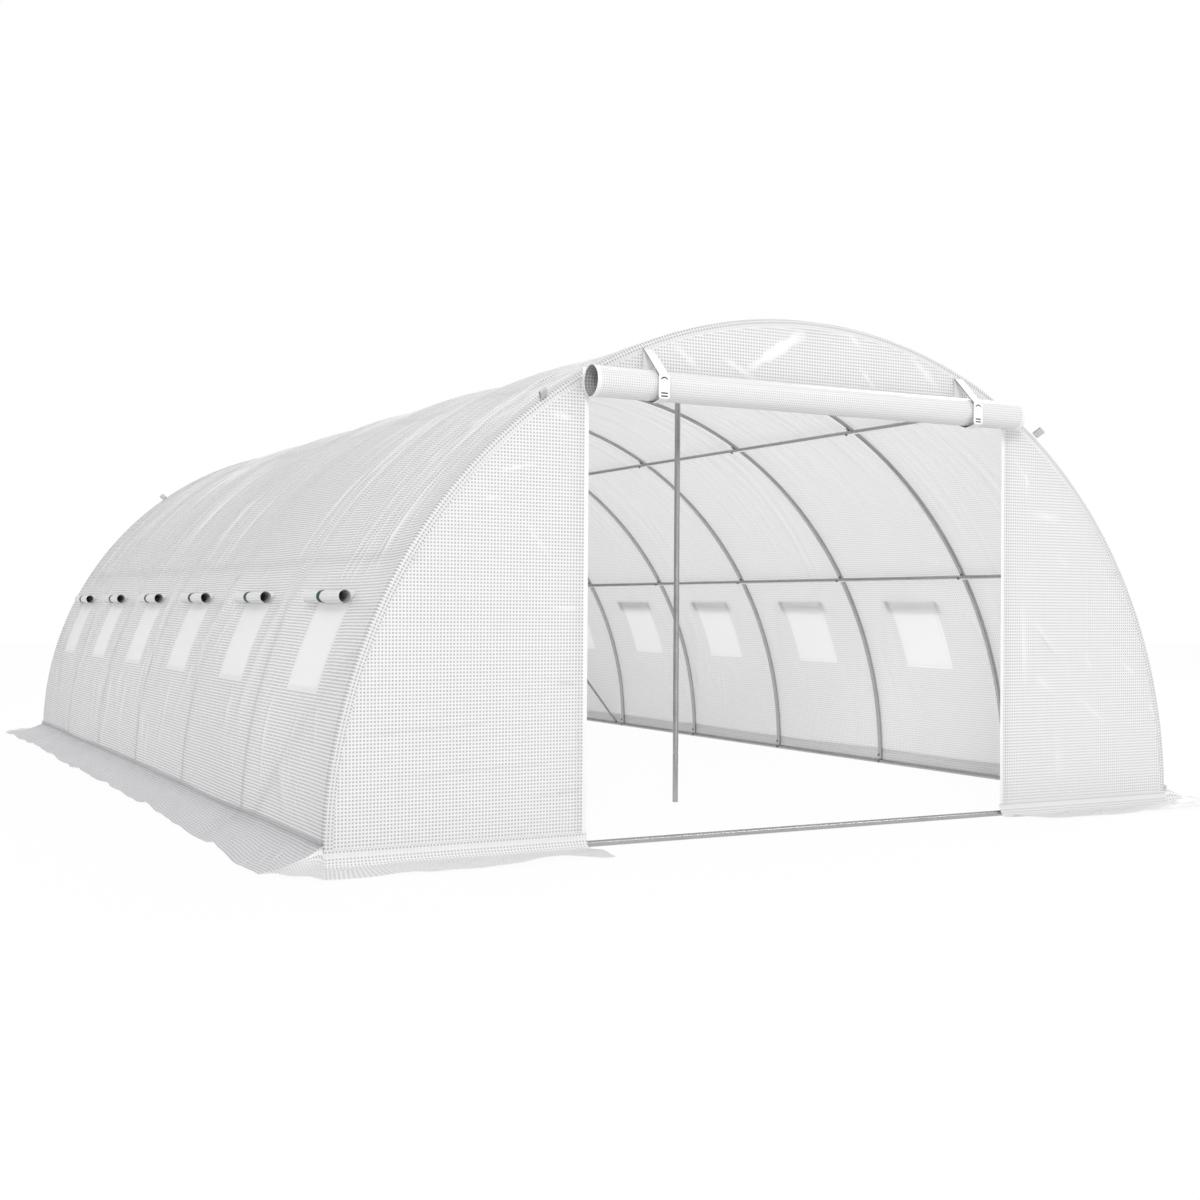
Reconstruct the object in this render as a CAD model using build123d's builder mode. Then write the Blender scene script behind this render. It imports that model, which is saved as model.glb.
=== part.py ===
from math import asin, cos, degrees, pi, radians, sin, sqrt
import os

from build123d import *

os.makedirs("parts", exist_ok=True)

# Tunnel: a half-round fabric tunnel on tube hoops, standing on level ground, doorway at -Y
tunnel_width = 6000
tunnel_length = 9200
spring_height = 50
bay_count = 6
seat_gap = 0.3

# Tubes of the frame, outside diameters, drawn with flats so that they seat on each other
tube_sides = 8
hoop_tube = 38
hoop_runs = 49
rail_tube = 38
purlin_tube = 32
post_tube = 38
door_tube = 32
brace_tube = 25

# Purlins, as shares of the half-round arc from the ridge down to the ground line
purlin_arc_shares = {
    "left_side_purlin": -1 / 3,
    "left_upper_purlin": -1 / 6,
    "ridge_purlin": 0,
    "right_upper_purlin": 1 / 6,
    "right_side_purlin": 1 / 3,
}

# Braces of the end bays, from the base rail up to the end hoop
brace_foot_offset = 150
brace_head_height = 1100

# Cover and its ground skirt
cover_thickness = 4
skirt_width = 300
skirt_corner = 150
seam_rise = 200

# Side windows, one in the middle of each bay, with the flap rolled up above
window_sill_height = 857
window_height = 488
window_width = 560
screen_thickness = 2
flap_rise = 18
flap_roll = 75
flap_roll_sides = 12
flap_roll_wall = 5
flap_roll_length = 700

# Doorway, and the rolled-up door that hangs in two straps over it
door_width = 3000
door_height = 2500
door_post_setback = 45
lintel_rise = 40
flap_ground_clearance = 5
door_roll = 175
door_roll_wall = 8
door_roll_overhang = 40
door_roll_rise = 65
strap_spacing = 2260
strap_width = 64
strap_thickness = 3
strap_rise = 215
strap_fold_radius = 6

# Strap buckles, flat plates that hold the strap a little off the roll
buckle_width = 70
buckle_length = 130
buckle_thickness = 6
buckle_corner = 12
buckle_edge = 2
buckle_drop = 18
buckle_stand_off = 5
buckle_slot_width = 46
buckle_slot_height = 8
buckle_slot_rise = 10
buckle_arch_share = 0.4
buckle_slot_shares = (-0.27, -0.4)

# Rope loops sewn under the hem of the arch, a little out from the door roll
loop_offset = 280
loop_length = 65
loop_depth = 18
loop_width = 45
loop_thickness = 3
loop_corner = 6

# Places that follow from the sizes above
half_length = tunnel_length / 2
cover_radius = tunnel_width / 2
cover_inner_radius = cover_radius - cover_thickness
hoop_radius = cover_inner_radius - seat_gap - hoop_tube / 2
quarter_turn = degrees(pi / 2)
run_turn = 2 * quarter_turn / hoop_runs
inside_radius = hoop_radius * cos(radians(run_turn / 2)) - hoop_tube / 2 - seat_gap
purlin_radius = inside_radius - purlin_tube / 2
panel_radius = cover_inner_radius - seat_gap
frame_half_length = half_length - cover_thickness - seat_gap
end_hoop_y = frame_half_length - hoop_tube / 2
bay_length = 2 * end_hoop_y / bay_count
hoop_ys = [index * bay_length - end_hoop_y for index in range(bay_count + 1)]
bay_centres = [y + bay_length / 2 for y in hoop_ys[:-1]]
rail_height = rail_tube / 2
rail_seat = rail_tube + seat_gap
sides = {"left": -1, "right": 1}
ends = {"front": -1, "rear": 1}


def save(built, name):
    built.part.label = name
    export_step(built.part, f"parts/{name}.step")


def draw_tube(diameter, turn=0, corners=tube_sides, mode=Mode.ADD):
    # Section of a tube with a flat on each side, or turned to face its seat
    RegularPolygon(diameter / 2, corners, major_radius=False, rotation=180 / corners + turn, mode=mode)


def draw_strip(side, inner_radius, outer_radius, low, high):
    # Outline of a strip of the tunnel's arc between two angles above the ground line
    start = quarter_turn - side * (quarter_turn - low)
    sweep = side * (high - low)
    outer_arc = CenterArc((0, spring_height), outer_radius, start, sweep)
    inner_arc = CenterArc((0, spring_height), inner_radius, start, sweep)
    Line(outer_arc @ 0, inner_arc @ 0)
    Line(outer_arc @ 1, inner_arc @ 1)


def draw_skirt(side, face):
    # Outline of a skirt that turns from an upright face out over the ground
    bend = spring_height
    centre = (side * (face - cover_thickness + bend), spring_height)
    start = quarter_turn + side * quarter_turn
    under = CenterArc(centre, bend, start, side * quarter_turn)
    upper = CenterArc(centre, bend - cover_thickness, start, side * quarter_turn)
    hem = (side * (face + skirt_width), 0)
    Line(under @ 0, upper @ 0)
    Polyline(under @ 1, hem, (hem[0], cover_thickness), upper @ 1)


# Hoops: tube arches bent in short runs, with straight feet that stand on the base rails
bends = [radians(index * run_turn) for index in range(hoop_runs + 1)]
hoop_bends = [(hoop_radius * cos(bend), spring_height + hoop_radius * sin(bend)) for bend in bends]
for index, y in enumerate(hoop_ys):
    with BuildPart() as hoop:
        with BuildLine(Plane.XZ.offset(-y)):
            Polyline((hoop_radius, rail_seat), *hoop_bends, (-hoop_radius, rail_seat))
        with BuildSketch(Plane.XY.offset(rail_seat)):
            with Locations((hoop_radius, y)):
                draw_tube(hoop_tube)
        sweep(transition=Transition.RIGHT)
    save(hoop, {0: "front_hoop", bay_count: "rear_hoop"}.get(index, f"hoop_{index + 1}"))

# Purlins, straight tubes along the inside of the hoops, each in the middle of a run
for name, share in purlin_arc_shares.items():
    angle = radians(round(share * hoop_runs) * run_turn)
    with BuildPart() as purlin:
        with BuildSketch(Plane.XZ):
            with Locations((purlin_radius * sin(angle), spring_height + purlin_radius * cos(angle))):
                draw_tube(purlin_tube, -degrees(angle))
        extrude(amount=frame_half_length, both=True)
    save(purlin, name)

# Base rails on the ground under the feet of the hoops
for side_name, side in sides.items():
    with BuildPart() as base_rail:
        with BuildSketch(Plane.XZ):
            with Locations((side * hoop_radius, rail_height)):
                draw_tube(rail_tube)
        extrude(amount=frame_half_length, both=True)
    save(base_rail, f"{side_name}_base_rail")

# Centre posts from the ground to the ridge, one under each inner hoop
ridge_underside = spring_height + purlin_radius - purlin_tube / 2
with BuildPart() as centre_posts:
    with BuildSketch():
        with Locations(*[(0, y) for y in hoop_ys[1:-1]]):
            draw_tube(post_tube)
    extrude(amount=ridge_underside - seat_gap)
save(centre_posts, "centre_posts")

# Braces that slope from the top of the base rails to the sides of the end hoops
brace_head_x = sqrt(hoop_radius**2 - (brace_head_height - spring_height) ** 2)
brace_foot_y = end_hoop_y - bay_length + brace_foot_offset
with BuildPart() as corner_braces:
    for end in ends.values():
        for side in sides.values():
            foot = Vector(side * hoop_radius, end * brace_foot_y, rail_height)
            head = Vector(side * brace_head_x, end * end_hoop_y, brace_head_height)
            with BuildSketch(Plane(origin=foot, z_dir=head - foot)):
                draw_tube(brace_tube)
            extrude(amount=(head - foot).length)
    with BuildSketch(Plane.XZ):
        with Locations((0, rail_seat)):
            Rectangle(tunnel_width, cover_radius, align=(Align.CENTER, Align.MIN))
    extrude(amount=end_hoop_y - hoop_tube / 2 - seat_gap, both=True, mode=Mode.INTERSECT)
save(corner_braces, "corner_braces")

# Sill rails on the ground across both ends
for end_name, end in ends.items():
    with BuildPart() as sill_rail:
        with BuildSketch(Plane.YZ):
            with Locations((end * end_hoop_y, rail_height)):
                draw_tube(rail_tube)
        extrude(amount=hoop_radius - rail_tube / 2 - seat_gap, both=True)
    save(sill_rail, f"{end_name}_sill_rail")

# Door frames: two posts on the sill and a lintel on top of them, all inside the end hoop
door_post_x = door_width / 2 + door_post_setback
lintel_height = door_height + lintel_rise
door_post_top = lintel_height - door_tube / 2 - seat_gap
for end_name, end in ends.items():
    with BuildPart() as door_frame:
        with BuildSketch(Plane.XY.offset(rail_seat)):
            with Locations((-door_post_x, end * end_hoop_y), (door_post_x, end * end_hoop_y)):
                draw_tube(door_tube)
        extrude(amount=door_post_top - rail_seat)
        with BuildSketch(Plane.YZ):
            with Locations((end * end_hoop_y, lintel_height)):
                draw_tube(door_tube)
        extrude(amount=door_post_x + door_tube / 2, both=True)
        with BuildSketch(Plane.XZ):
            with Locations((0, spring_height)):
                Circle(inside_radius)
        extrude(amount=half_length, both=True, mode=Mode.INTERSECT)
    save(door_frame, f"{end_name}_door_frame")

# Tunnel cover in strips, seamed above the windows and half-way up the roof
window_top = window_sill_height + window_height
window_places = [(y, window_sill_height + window_height / 2) for y in bay_centres]
wall_seam = degrees(asin((window_top + seam_rise - spring_height) / cover_radius))
roof_seam = (wall_seam + quarter_turn) / 2
strips = {
    "wall_cover": (0, wall_seam),
    "lower_roof_cover": (wall_seam, roof_seam),
    "upper_roof_cover": (roof_seam, quarter_turn),
}
for side_name, side in sides.items():
    for strip_name, (low, high) in strips.items():
        with BuildPart() as strip:
            with BuildSketch(Plane.XZ):
                with BuildLine():
                    draw_strip(side, cover_inner_radius, cover_radius, low, high)
                make_face()
            extrude(amount=half_length, both=True)
            if strip_name == "wall_cover":
                with BuildSketch(Plane.YZ):
                    with Locations(*window_places):
                        Rectangle(window_width, window_height)
                extrude(amount=side * cover_radius, mode=Mode.SUBTRACT)
        save(strip, f"{side_name}_{strip_name}")

# Window screens, curved with the wall, and the rolled flaps above them
screen_inner_radius = cover_radius - (cover_thickness + screen_thickness) / 2
flap_angle = asin((window_top + flap_rise - spring_height) / cover_radius)
flap_radius = cover_radius + seat_gap + flap_roll / 2
for side_name, side in sides.items():
    with BuildPart() as screens:
        with BuildSketch(Plane.XZ):
            with BuildLine():
                draw_strip(side, screen_inner_radius, screen_inner_radius + screen_thickness, 0, wall_seam)
            make_face()
        extrude(amount=half_length, both=True)
        with BuildSketch(Plane.YZ):
            with Locations(*window_places):
                Rectangle(window_width - 2 * seat_gap, window_height - 2 * seat_gap)
        extrude(amount=side * cover_radius, mode=Mode.INTERSECT)
    save(screens, f"{side_name}_window_screens")

    flap_x = side * flap_radius * cos(flap_angle)
    flap_z = spring_height + flap_radius * sin(flap_angle)
    flap_turn = side * degrees(flap_angle)
    with BuildPart() as rolls:
        for y in bay_centres:
            with BuildSketch(Plane.XZ.offset(-y)):
                with Locations((flap_x, flap_z)):
                    draw_tube(flap_roll, flap_turn, flap_roll_sides)
                    draw_tube(flap_roll - 2 * flap_roll_wall, flap_turn, flap_roll_sides, Mode.SUBTRACT)
            extrude(amount=flap_roll_length / 2, both=True)
    save(rolls, f"{side_name}_window_rolls")

# Ground skirts along the sides
for side_name, side in sides.items():
    with BuildPart() as skirt:
        with BuildSketch(Plane.XZ):
            with BuildLine():
                draw_skirt(side, cover_radius)
            make_face()
        extrude(amount=half_length, both=True)
    save(skirt, f"{side_name}_ground_skirt")

# Ground skirts of the end panels, rounded beside the doorway
for end_name, end in ends.items():
    with BuildPart() as end_skirts:
        for side in sides.values():
            with BuildSketch(Plane.YZ.offset(side * door_width / 2)):
                with BuildLine():
                    draw_skirt(end, half_length)
                make_face()
            extrude(amount=side * (panel_radius - door_width / 2))
        hems = end_skirts.edges().filter_by(Axis.Z).group_by(Axis.Y)[-1 if end > 0 else 0]
        fillet(hems.sort_by(lambda edge: abs(edge.center().X))[:2], skirt_corner)
    save(end_skirts, f"{end_name}_ground_skirts")

# End walls: a panel each side of the doorway and a header over it, inside the edge of the cover
for end_name, end in ends.items():
    end_plane = Plane.XZ.offset(-end * half_length)
    for side_name, side in sides.items():
        with BuildPart() as panel:
            with BuildSketch(end_plane):
                with Locations((0, spring_height)):
                    Circle(panel_radius)
                with Locations((side * door_width / 2, spring_height)):
                    outer = Align.MIN if side > 0 else Align.MAX
                    Rectangle(panel_radius, panel_radius, align=(outer, Align.MIN), mode=Mode.INTERSECT)
            extrude(amount=end * cover_thickness)
        save(panel, f"{end_name}_{side_name}_panel")
    with BuildPart() as header:
        with BuildSketch(end_plane):
            with Locations((0, spring_height)):
                Circle(panel_radius)
            with Locations((0, door_height)):
                header_width = door_width - 2 * seat_gap
                Rectangle(header_width, panel_radius, align=(Align.CENTER, Align.MIN), mode=Mode.INTERSECT)
        extrude(amount=end * cover_thickness)
    save(header, f"{end_name}_header_panel")

# Rear door, let down and closed
flap_height = door_height - seat_gap - flap_ground_clearance
with BuildPart() as rear_flap:
    with BuildSketch(Plane.XZ.offset(-half_length)):
        with Locations((0, spring_height)):
            Circle(panel_radius)
        with Locations((0, flap_ground_clearance)):
            flap_width = door_width - 2 * seat_gap
            Rectangle(flap_width, flap_height, align=(Align.CENTER, Align.MIN), mode=Mode.INTERSECT)
    extrude(amount=cover_thickness)
save(rear_flap, "rear_door_flap")

# Front door, rolled up outside the header
roll_y = -(half_length + 2 * seat_gap + strap_thickness + door_roll / 2)
roll_z = door_height + door_roll_rise
with BuildPart() as roll:
    with BuildSketch(Plane.YZ):
        with Locations((roll_y, roll_z)):
            Circle(door_roll / 2)
            Circle(door_roll / 2 - door_roll_wall, mode=Mode.SUBTRACT)
    extrude(amount=door_width / 2 + door_roll_overhang, both=True)
save(roll, "front_door_roll")

# Straps: bands round the roll that rise to the header, drawn flat behind the buckles
strap_radius = door_roll / 2 + seat_gap + strap_thickness
strap_top_y = -(half_length + seat_gap + strap_fold_radius)
strap_front_y = roll_y - strap_radius - buckle_stand_off
strap_xs = (-strap_spacing / 2, strap_spacing / 2)
buckle_z = roll_z - buckle_drop
strap_corner_zs = (buckle_z - buckle_length / 2, buckle_z + buckle_length / 2)
with BuildPart() as straps:
    for x in strap_xs:
        with BuildSketch(Plane.YZ.offset(x)):
            with Locations((roll_y, roll_z)):
                Circle(strap_radius)
            with Locations((strap_top_y, roll_z + strap_rise)):
                Circle(strap_fold_radius)
            with Locations(*[(strap_front_y + strap_fold_radius, z) for z in strap_corner_zs]):
                Circle(strap_fold_radius)
            make_hull()
            offset(amount=-strap_thickness, mode=Mode.SUBTRACT)
        extrude(amount=strap_width / 2, both=True)
save(straps, "front_door_straps")

# Buckles: flat plates on the front of the straps, with an arched slot over two straight ones
arch_top = buckle_arch_share * buckle_length
arch_foot = arch_top - buckle_slot_rise
arch_half = (buckle_slot_width - buckle_slot_height) / 2
arch = ThreePointArc((-arch_half, arch_foot), (0, arch_top), (arch_half, arch_foot))
slot_places = [(0, share * buckle_length) for share in buckle_slot_shares]
with BuildPart() as buckles:
    with BuildSketch(Plane.XZ.offset(seat_gap - strap_front_y)):
        with Locations(*[(x, buckle_z) for x in strap_xs]):
            RectangleRounded(buckle_width, buckle_length, buckle_corner)
            SlotArc(arch, buckle_slot_height, mode=Mode.SUBTRACT)
            with Locations(*slot_places):
                SlotOverall(buckle_slot_width, buckle_slot_height, mode=Mode.SUBTRACT)
    extrude(amount=buckle_thickness)
    for face in buckles.faces().group_by(Axis.Y)[0]:
        fillet(face.outer_wire().edges(), buckle_edge)
save(buckles, "front_door_buckles")

# Rope loops at the edge of the arch, pointing out and away from the end
loop_angle = asin((door_width / 2 + loop_offset) / cover_radius)
with BuildPart() as rope_loops:
    for end in ends.values():
        for side in sides.values():
            outward = Vector(side * sin(loop_angle), 0, cos(loop_angle))
            along = Vector(cos(loop_angle), 0, -side * sin(loop_angle))
            pointing = (outward + Vector(0, end, 0)).normalized()
            edge = Vector(0, end * half_length, spring_height) + outward * cover_radius
            middle = edge + pointing * (seat_gap + loop_length / 2)
            with BuildSketch(Plane(origin=middle, x_dir=pointing, z_dir=along)) as loop:
                Rectangle(loop_length, loop_depth)
                chamfer(loop.vertices(), loop_corner)
                offset(amount=-loop_thickness, kind=Kind.INTERSECTION, mode=Mode.SUBTRACT)
            extrude(amount=loop_width / 2, both=True)
save(rope_loops, "rope_loops")
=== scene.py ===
from math import asin, cos, pi, radians, sin, sqrt

import bpy
import numpy as np
from mathutils import Matrix, Vector


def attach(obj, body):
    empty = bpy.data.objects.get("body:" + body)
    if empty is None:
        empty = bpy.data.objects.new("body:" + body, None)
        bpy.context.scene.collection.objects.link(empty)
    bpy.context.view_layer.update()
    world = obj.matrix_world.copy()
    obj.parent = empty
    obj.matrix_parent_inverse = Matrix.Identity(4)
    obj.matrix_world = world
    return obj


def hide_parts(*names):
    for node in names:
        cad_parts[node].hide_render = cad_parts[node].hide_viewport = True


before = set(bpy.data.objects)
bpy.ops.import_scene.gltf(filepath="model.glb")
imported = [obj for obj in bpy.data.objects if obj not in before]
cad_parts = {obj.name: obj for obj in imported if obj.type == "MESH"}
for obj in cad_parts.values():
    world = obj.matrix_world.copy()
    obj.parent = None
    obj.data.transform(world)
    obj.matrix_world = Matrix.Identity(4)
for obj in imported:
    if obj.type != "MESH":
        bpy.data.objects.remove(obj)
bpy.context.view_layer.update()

# places shared by all the pieces, in metres, as the CAD has them
tunnel = {
    "radius": 3.0,
    "spring": 0.05,  # height of the arc's centre
    "halfLength": 4.6,
    "bays": 6,
    "endHoop": 4.5767,
    "hoopRadius": 2.9767,
    "hoopRuns": 49,  # straight runs in the CAD's bent hoop
    "purlinRadius": 2.93987,
    "tubeEnd": 4.5957,
    "doorHalf": 1.5,
    "doorHeight": 2.5,
    "sheetIn": 0.002,  # from the CAD's outer face to the middle of its sheet
}
arcRadius, spring, halfLength, endHoop = (tunnel[key] for key in ("radius", "spring", "halfLength", "endHoop"))
doorHalf, doorHeight = tunnel["doorHalf"], tunnel["doorHeight"]
bayLength = 2 * endHoop / tunnel["bays"]
hoopYs = [i * bayLength - endHoop for i in range(tunnel["bays"] + 1)]
bayCentres = [y + bayLength / 2 for y in hoopYs[:-1]]
sheetRadius = arcRadius - tunnel["sheetIn"]
sheetEnd = halfLength - tunnel["sheetIn"]
arcLength = pi * arcRadius
sides, ends = (("left", -1), ("right", 1)), (("front", -1), ("rear", 1))
corners = [(end, side) for end in (-1, 1) for side in (-1, 1)]
xAxis, yAxis, zAxis = (1, 0, 0), (0, 1, 0), (0, 0, 1)


# small helpers
def smooth(value, low, high):
    share = np.clip((value - low) / (high - low), 0, 1)
    return share * share * (3 - 2 * share)


def bell(off, power=2):
    return np.exp(-np.abs(off) ** power)


def softNoise(u, v, seed):
    # smooth noise from 0 to 1, read from a table that repeats
    cells = 64
    table = np.random.RandomState(seed).rand(cells, cells)
    u, v = np.broadcast_arrays(np.asarray(u, float), np.asarray(v, float))
    iu, iv = np.floor(u).astype(int), np.floor(v).astype(int)
    fu, fv = (part * part * part * (part * (part * 6 - 15) + 10) for part in (u - iu, v - iv))
    low, high = (table[iu % cells, row % cells] * (1 - fu) + table[(iu + 1) % cells, row % cells] * fu
                 for row in (iv, iv + 1))
    return low * (1 - fv) + high * fv


def ridge(value, power):
    return (1 - np.abs(2 * value - 1)) ** power


def steps(stops, spacing):
    # places between the stops, about a spacing apart, with every stop kept
    places = [stops[0]]
    for start, end in zip(stops, stops[1:]):
        count = max(1, round((end - start) / spacing))
        places += [start + (end - start) * (i + 1) / count for i in range(count)]
    return np.array(places)


def middles(places):
    return (places[:-1] + places[1:]) / 2


def stacked(*parts):
    # arrays that spread to one shape, side by side as the last axis
    return np.stack(np.broadcast_arrays(*parts), axis=-1)


def runAlong(points):
    # distance along a path at each of its points
    return np.concatenate([[0], np.cumsum(np.linalg.norm(np.diff(points, axis=0), axis=1))])


def resample(points, count):
    # the same path with its points evenly apart
    points = np.array(points, float)
    run = runAlong(points)
    places = np.linspace(0, run[-1], count)
    return np.stack([np.interp(places, run, points[:, i]) for i in range(3)], axis=-1)


def finishPiece(piece, slot, *nodes):
    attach(piece, "root")
    if nodes:
        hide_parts(*nodes)
    return piece


def gridPiece(name, points, flatPlaces, materials, keep=None, finish=None, paintedLight=None):
    # a sheet from rows of points, with its flat place in metres as the UV map, and how much painted highlight (above
    # nought) or painted shade (below nought) it gets
    rows, columns = points.shape[:2]
    index = np.arange(rows * columns).reshape(rows, columns)
    quads = np.stack([index[:-1, :-1], index[1:, :-1], index[1:, 1:], index[:-1, 1:]], axis=-1).reshape(-1, 4)
    finish = (np.zeros((rows - 1, columns - 1)) if finish is None else finish).reshape(-1)
    if keep is not None:
        quads, finish = quads[keep.reshape(-1)], finish[keep.reshape(-1)]
    used, quads = np.unique(quads, return_inverse=True)
    quads = quads.reshape(-1, 4)
    mesh = bpy.data.meshes.new(name)
    mesh.from_pydata(points.reshape(-1, 3)[used].tolist(), [], quads.tolist())
    flatCorners = flatPlaces.reshape(-1, 2)[used][quads.reshape(-1)]
    mesh.uv_layers.new(name="flat").data.foreach_set("uv", flatCorners.astype(np.float32).reshape(-1))
    mesh.polygons.foreach_set("use_smooth", np.ones(len(quads), bool))
    mesh.polygons.foreach_set("material_index", finish.astype(np.int32))
    if paintedLight is not None:
        mark = mesh.attributes.new("crease", "FLOAT", "POINT")
        mark.data.foreach_set("value", np.clip(paintedLight, -1, 1).reshape(-1)[used].astype(np.float32))
    for material in materials:
        mesh.materials.append(material)
    mesh.update()
    piece = bpy.data.objects.new(name, mesh)
    bpy.context.scene.collection.objects.link(piece)
    return piece


def selectOnly(*pieces):
    bpy.ops.object.select_all(action="DESELECT")
    for piece in pieces:
        piece.select_set(True)
    if pieces:
        bpy.context.view_layer.objects.active = pieces[0]


def editMode(on=True):
    bpy.ops.object.mode_set(mode="EDIT" if on else "OBJECT")


def selectAll():
    bpy.ops.mesh.select_all(action="SELECT")


def newest(name):
    # the primitive just added, with its place kept in its mesh
    piece = bpy.context.active_object
    piece.name = name
    bpy.ops.object.transform_apply(location=True, rotation=True, scale=True)
    return piece


def applyModifier(piece, kind, **values):
    selectOnly(piece)
    modifier = piece.modifiers.new(kind.title(), kind)
    for key, value in values.items():
        setattr(modifier, key, value)
    bpy.ops.object.modifier_apply(modifier=modifier.name)


def joinPieces(pieces, name):
    selectOnly(*pieces)
    bpy.ops.object.join()
    pieces[0].name = name
    return pieces[0]


# shader helpers
def addNode(tree, kind, **values):
    node = tree.nodes.new("ShaderNode" + kind)
    for key, value in values.items():
        setattr(node, key, value)
    return node


def plug(tree, socket, value):
    if isinstance(value, bpy.types.NodeSocket):
        tree.links.new(value, socket)
    else:
        socket.default_value = value


def plugAll(tree, node, values):
    for key, value in values.items():
        plug(tree, node.inputs[key], value)
    return node


def setNode(tree, kind, values, **settings):
    return plugAll(tree, addNode(tree, kind, **settings), values)


def calc(tree, operation, *values):
    return setNode(tree, "Math", dict(enumerate(values)), operation=operation).outputs[0]


def weigh(tree, first, firstShare, second, secondShare):
    return calc(tree, "ADD", calc(tree, "MULTIPLY", first, firstShare), calc(tree, "MULTIPLY", second, secondShare))


def remap(tree, value, fromLow, fromHigh, toLow=0.0, toHigh=1.0, kind="SMOOTHSTEP"):
    values = dict(enumerate((value, fromLow, fromHigh, toLow, toHigh)))
    return setNode(tree, "MapRange", values, interpolation_type=kind).outputs[0]


def slope(tree, value, fromLow, fromHigh, toLow, toHigh):
    return remap(tree, value, fromLow, fromHigh, toLow, toHigh, "LINEAR")


def blendColour(tree, share, first, second):
    return setNode(tree, "Mix", {0: share, 6: first, 7: second}, data_type="RGBA").outputs[2]


def noiseOf(tree, place, scale, detail=3.0):
    values = {"Vector": place, "Scale": scale, "Detail": detail, "Roughness": 0.55}
    return setNode(tree, "TexNoise", values).outputs["Fac"]


def bumpOf(tree, height, strength, distance):
    return setNode(tree, "Bump", {"Strength": strength, "Distance": distance, "Height": height}).outputs[0]


def partsOf(tree, vector):
    return setNode(tree, "SeparateXYZ", {0: vector}).outputs


def makeGroup(name, inputs, outputs):
    group = bpy.data.node_groups.new(name, "ShaderNodeTree")
    for way, labels in (("INPUT", inputs), ("OUTPUT", outputs)):
        for label in labels:
            kind = "NodeSocketVector" if label == "Place" else "NodeSocketFloat"
            group.interface.new_socket(name=label, in_out=way, socket_type=kind)
    return group, group.nodes.new("NodeGroupInput").outputs, group.nodes.new("NodeGroupOutput")


def useGroup(tree, group, **values):
    return setNode(tree, "Group", values, node_tree=group).outputs


# square net of tape threads welded between two films
threadFade = {"inside": 0.09, "outside": 0.05}  # soft edge of a thread, as shares of the pitch
gridWeave, given, made = makeGroup("gridWeave", ("Place", "Pitch", "Thread"), ("Threads", "Height"))
threadMasks = []
for place in partsOf(gridWeave, given["Place"])[:2]:
    turns = calc(gridWeave, "FRACT", calc(gridWeave, "DIVIDE", place, given["Pitch"]))
    fromLine = calc(gridWeave, "ABSOLUTE", calc(gridWeave, "SUBTRACT", turns, 0.5))
    edge = calc(gridWeave, "SUBTRACT", 0.5, calc(gridWeave, "MULTIPLY", given["Thread"], 0.5))
    fadeFrom = calc(gridWeave, "SUBTRACT", edge, threadFade["inside"])
    threadMasks.append(remap(gridWeave, fromLine, fadeFrom, calc(gridWeave, "ADD", edge, threadFade["outside"])))
plugAll(gridWeave, made, {"Threads": calc(gridWeave, "MAXIMUM", *threadMasks),
                          "Height": calc(gridWeave, "ADD", *threadMasks)})

# uneven tone and fine crumple of a plastic sheet
sheetTone, given, made = makeGroup("sheetTone", ("Place",), ("Tone", "Crumple"))
broad, fine = noiseOf(sheetTone, given["Place"], 1.7), noiseOf(sheetTone, given["Place"], 11.0, 4.0)
plugAll(sheetTone, made, {"Tone": weigh(sheetTone, broad, 0.6, fine, 0.4), "Crumple": fine})

# zinc spangle and dulled patches of galvanised tube
zincGrain, given, made = makeGroup("zincGrain", ("Place",), ("Tone", "Dull"))
spangle = setNode(zincGrain, "TexVoronoi", {"Vector": given["Place"], "Scale": 95.0}).outputs["Color"]
spangle = setNode(zincGrain, "SeparateColor", {0: spangle}).outputs[0]
patches = noiseOf(zincGrain, given["Place"], 6.0, 5.0)
plugAll(zincGrain, made, {"Tone": weigh(zincGrain, spangle, 0.2, patches, 0.8), "Dull": patches})

# flat webbing, ribs across and a fine twill
webWeave, given, made = makeGroup("webWeave", ("Place", "Pitch"), ("Ribs",))
ribWaves = []
for place, share in zip(partsOf(webWeave, given["Place"])[:2], (1.0, 0.6)):
    turns = calc(webWeave, "DIVIDE", calc(webWeave, "MULTIPLY", place, 2 * pi * share), given["Pitch"])
    ribWaves.append(calc(webWeave, "SINE", turns))
plugAll(webWeave, made, {"Ribs": remap(webWeave, calc(webWeave, "MULTIPLY", *ribWaves), -0.7, 0.7)})

noiseRange = (0.3, 0.7)  # where most of a noise lies


def grey(level, tint=(1.0, 1.0, 1.0)):
    return (level * tint[0], level * tint[1], level * tint[2], 1.0)


def emptyTree(owner):
    owner.use_nodes = True
    owner.node_tree.nodes.clear()
    return owner.node_tree


def newMaterial(name):
    material = bpy.data.materials.new(name)
    tree = emptyTree(material)
    shader, out = addNode(tree, "BsdfPrincipled"), addNode(tree, "OutputMaterial")
    tree.links.new(shader.outputs[0], out.inputs[0])
    return material, tree, shader, out


sheetLook = {
    "cell": 0.57, "cellDark": 0.5, "thread": 0.86, "tint": (1.0, 1.0, 1.0), "pitch": 0.019, "threadShare": 0.42,
    # painted light: creases are painted near white as highlights, with a darker grey beside them as shade, and the back
    # is evened to a pale grey as if lit from behind
    "crease": 0.97, "highlightShare": 0.95, "leeShadeGrey": 0.4, "leeShadeShare": 0.55, "inner": 0.75, "soften": 0.0, "mean": 0.82,
    "gloss": 0.28, "dulling": 0.1, "shine": 0.5, "sheen": 0.0, "bump": 0.2, "bumpDepth": 0.004, "threadHeight": 0.25,
    "through": 0.4,  # share of the light that goes through
    "threads": 1.0,  # share of a net that isn't holes
}


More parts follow.
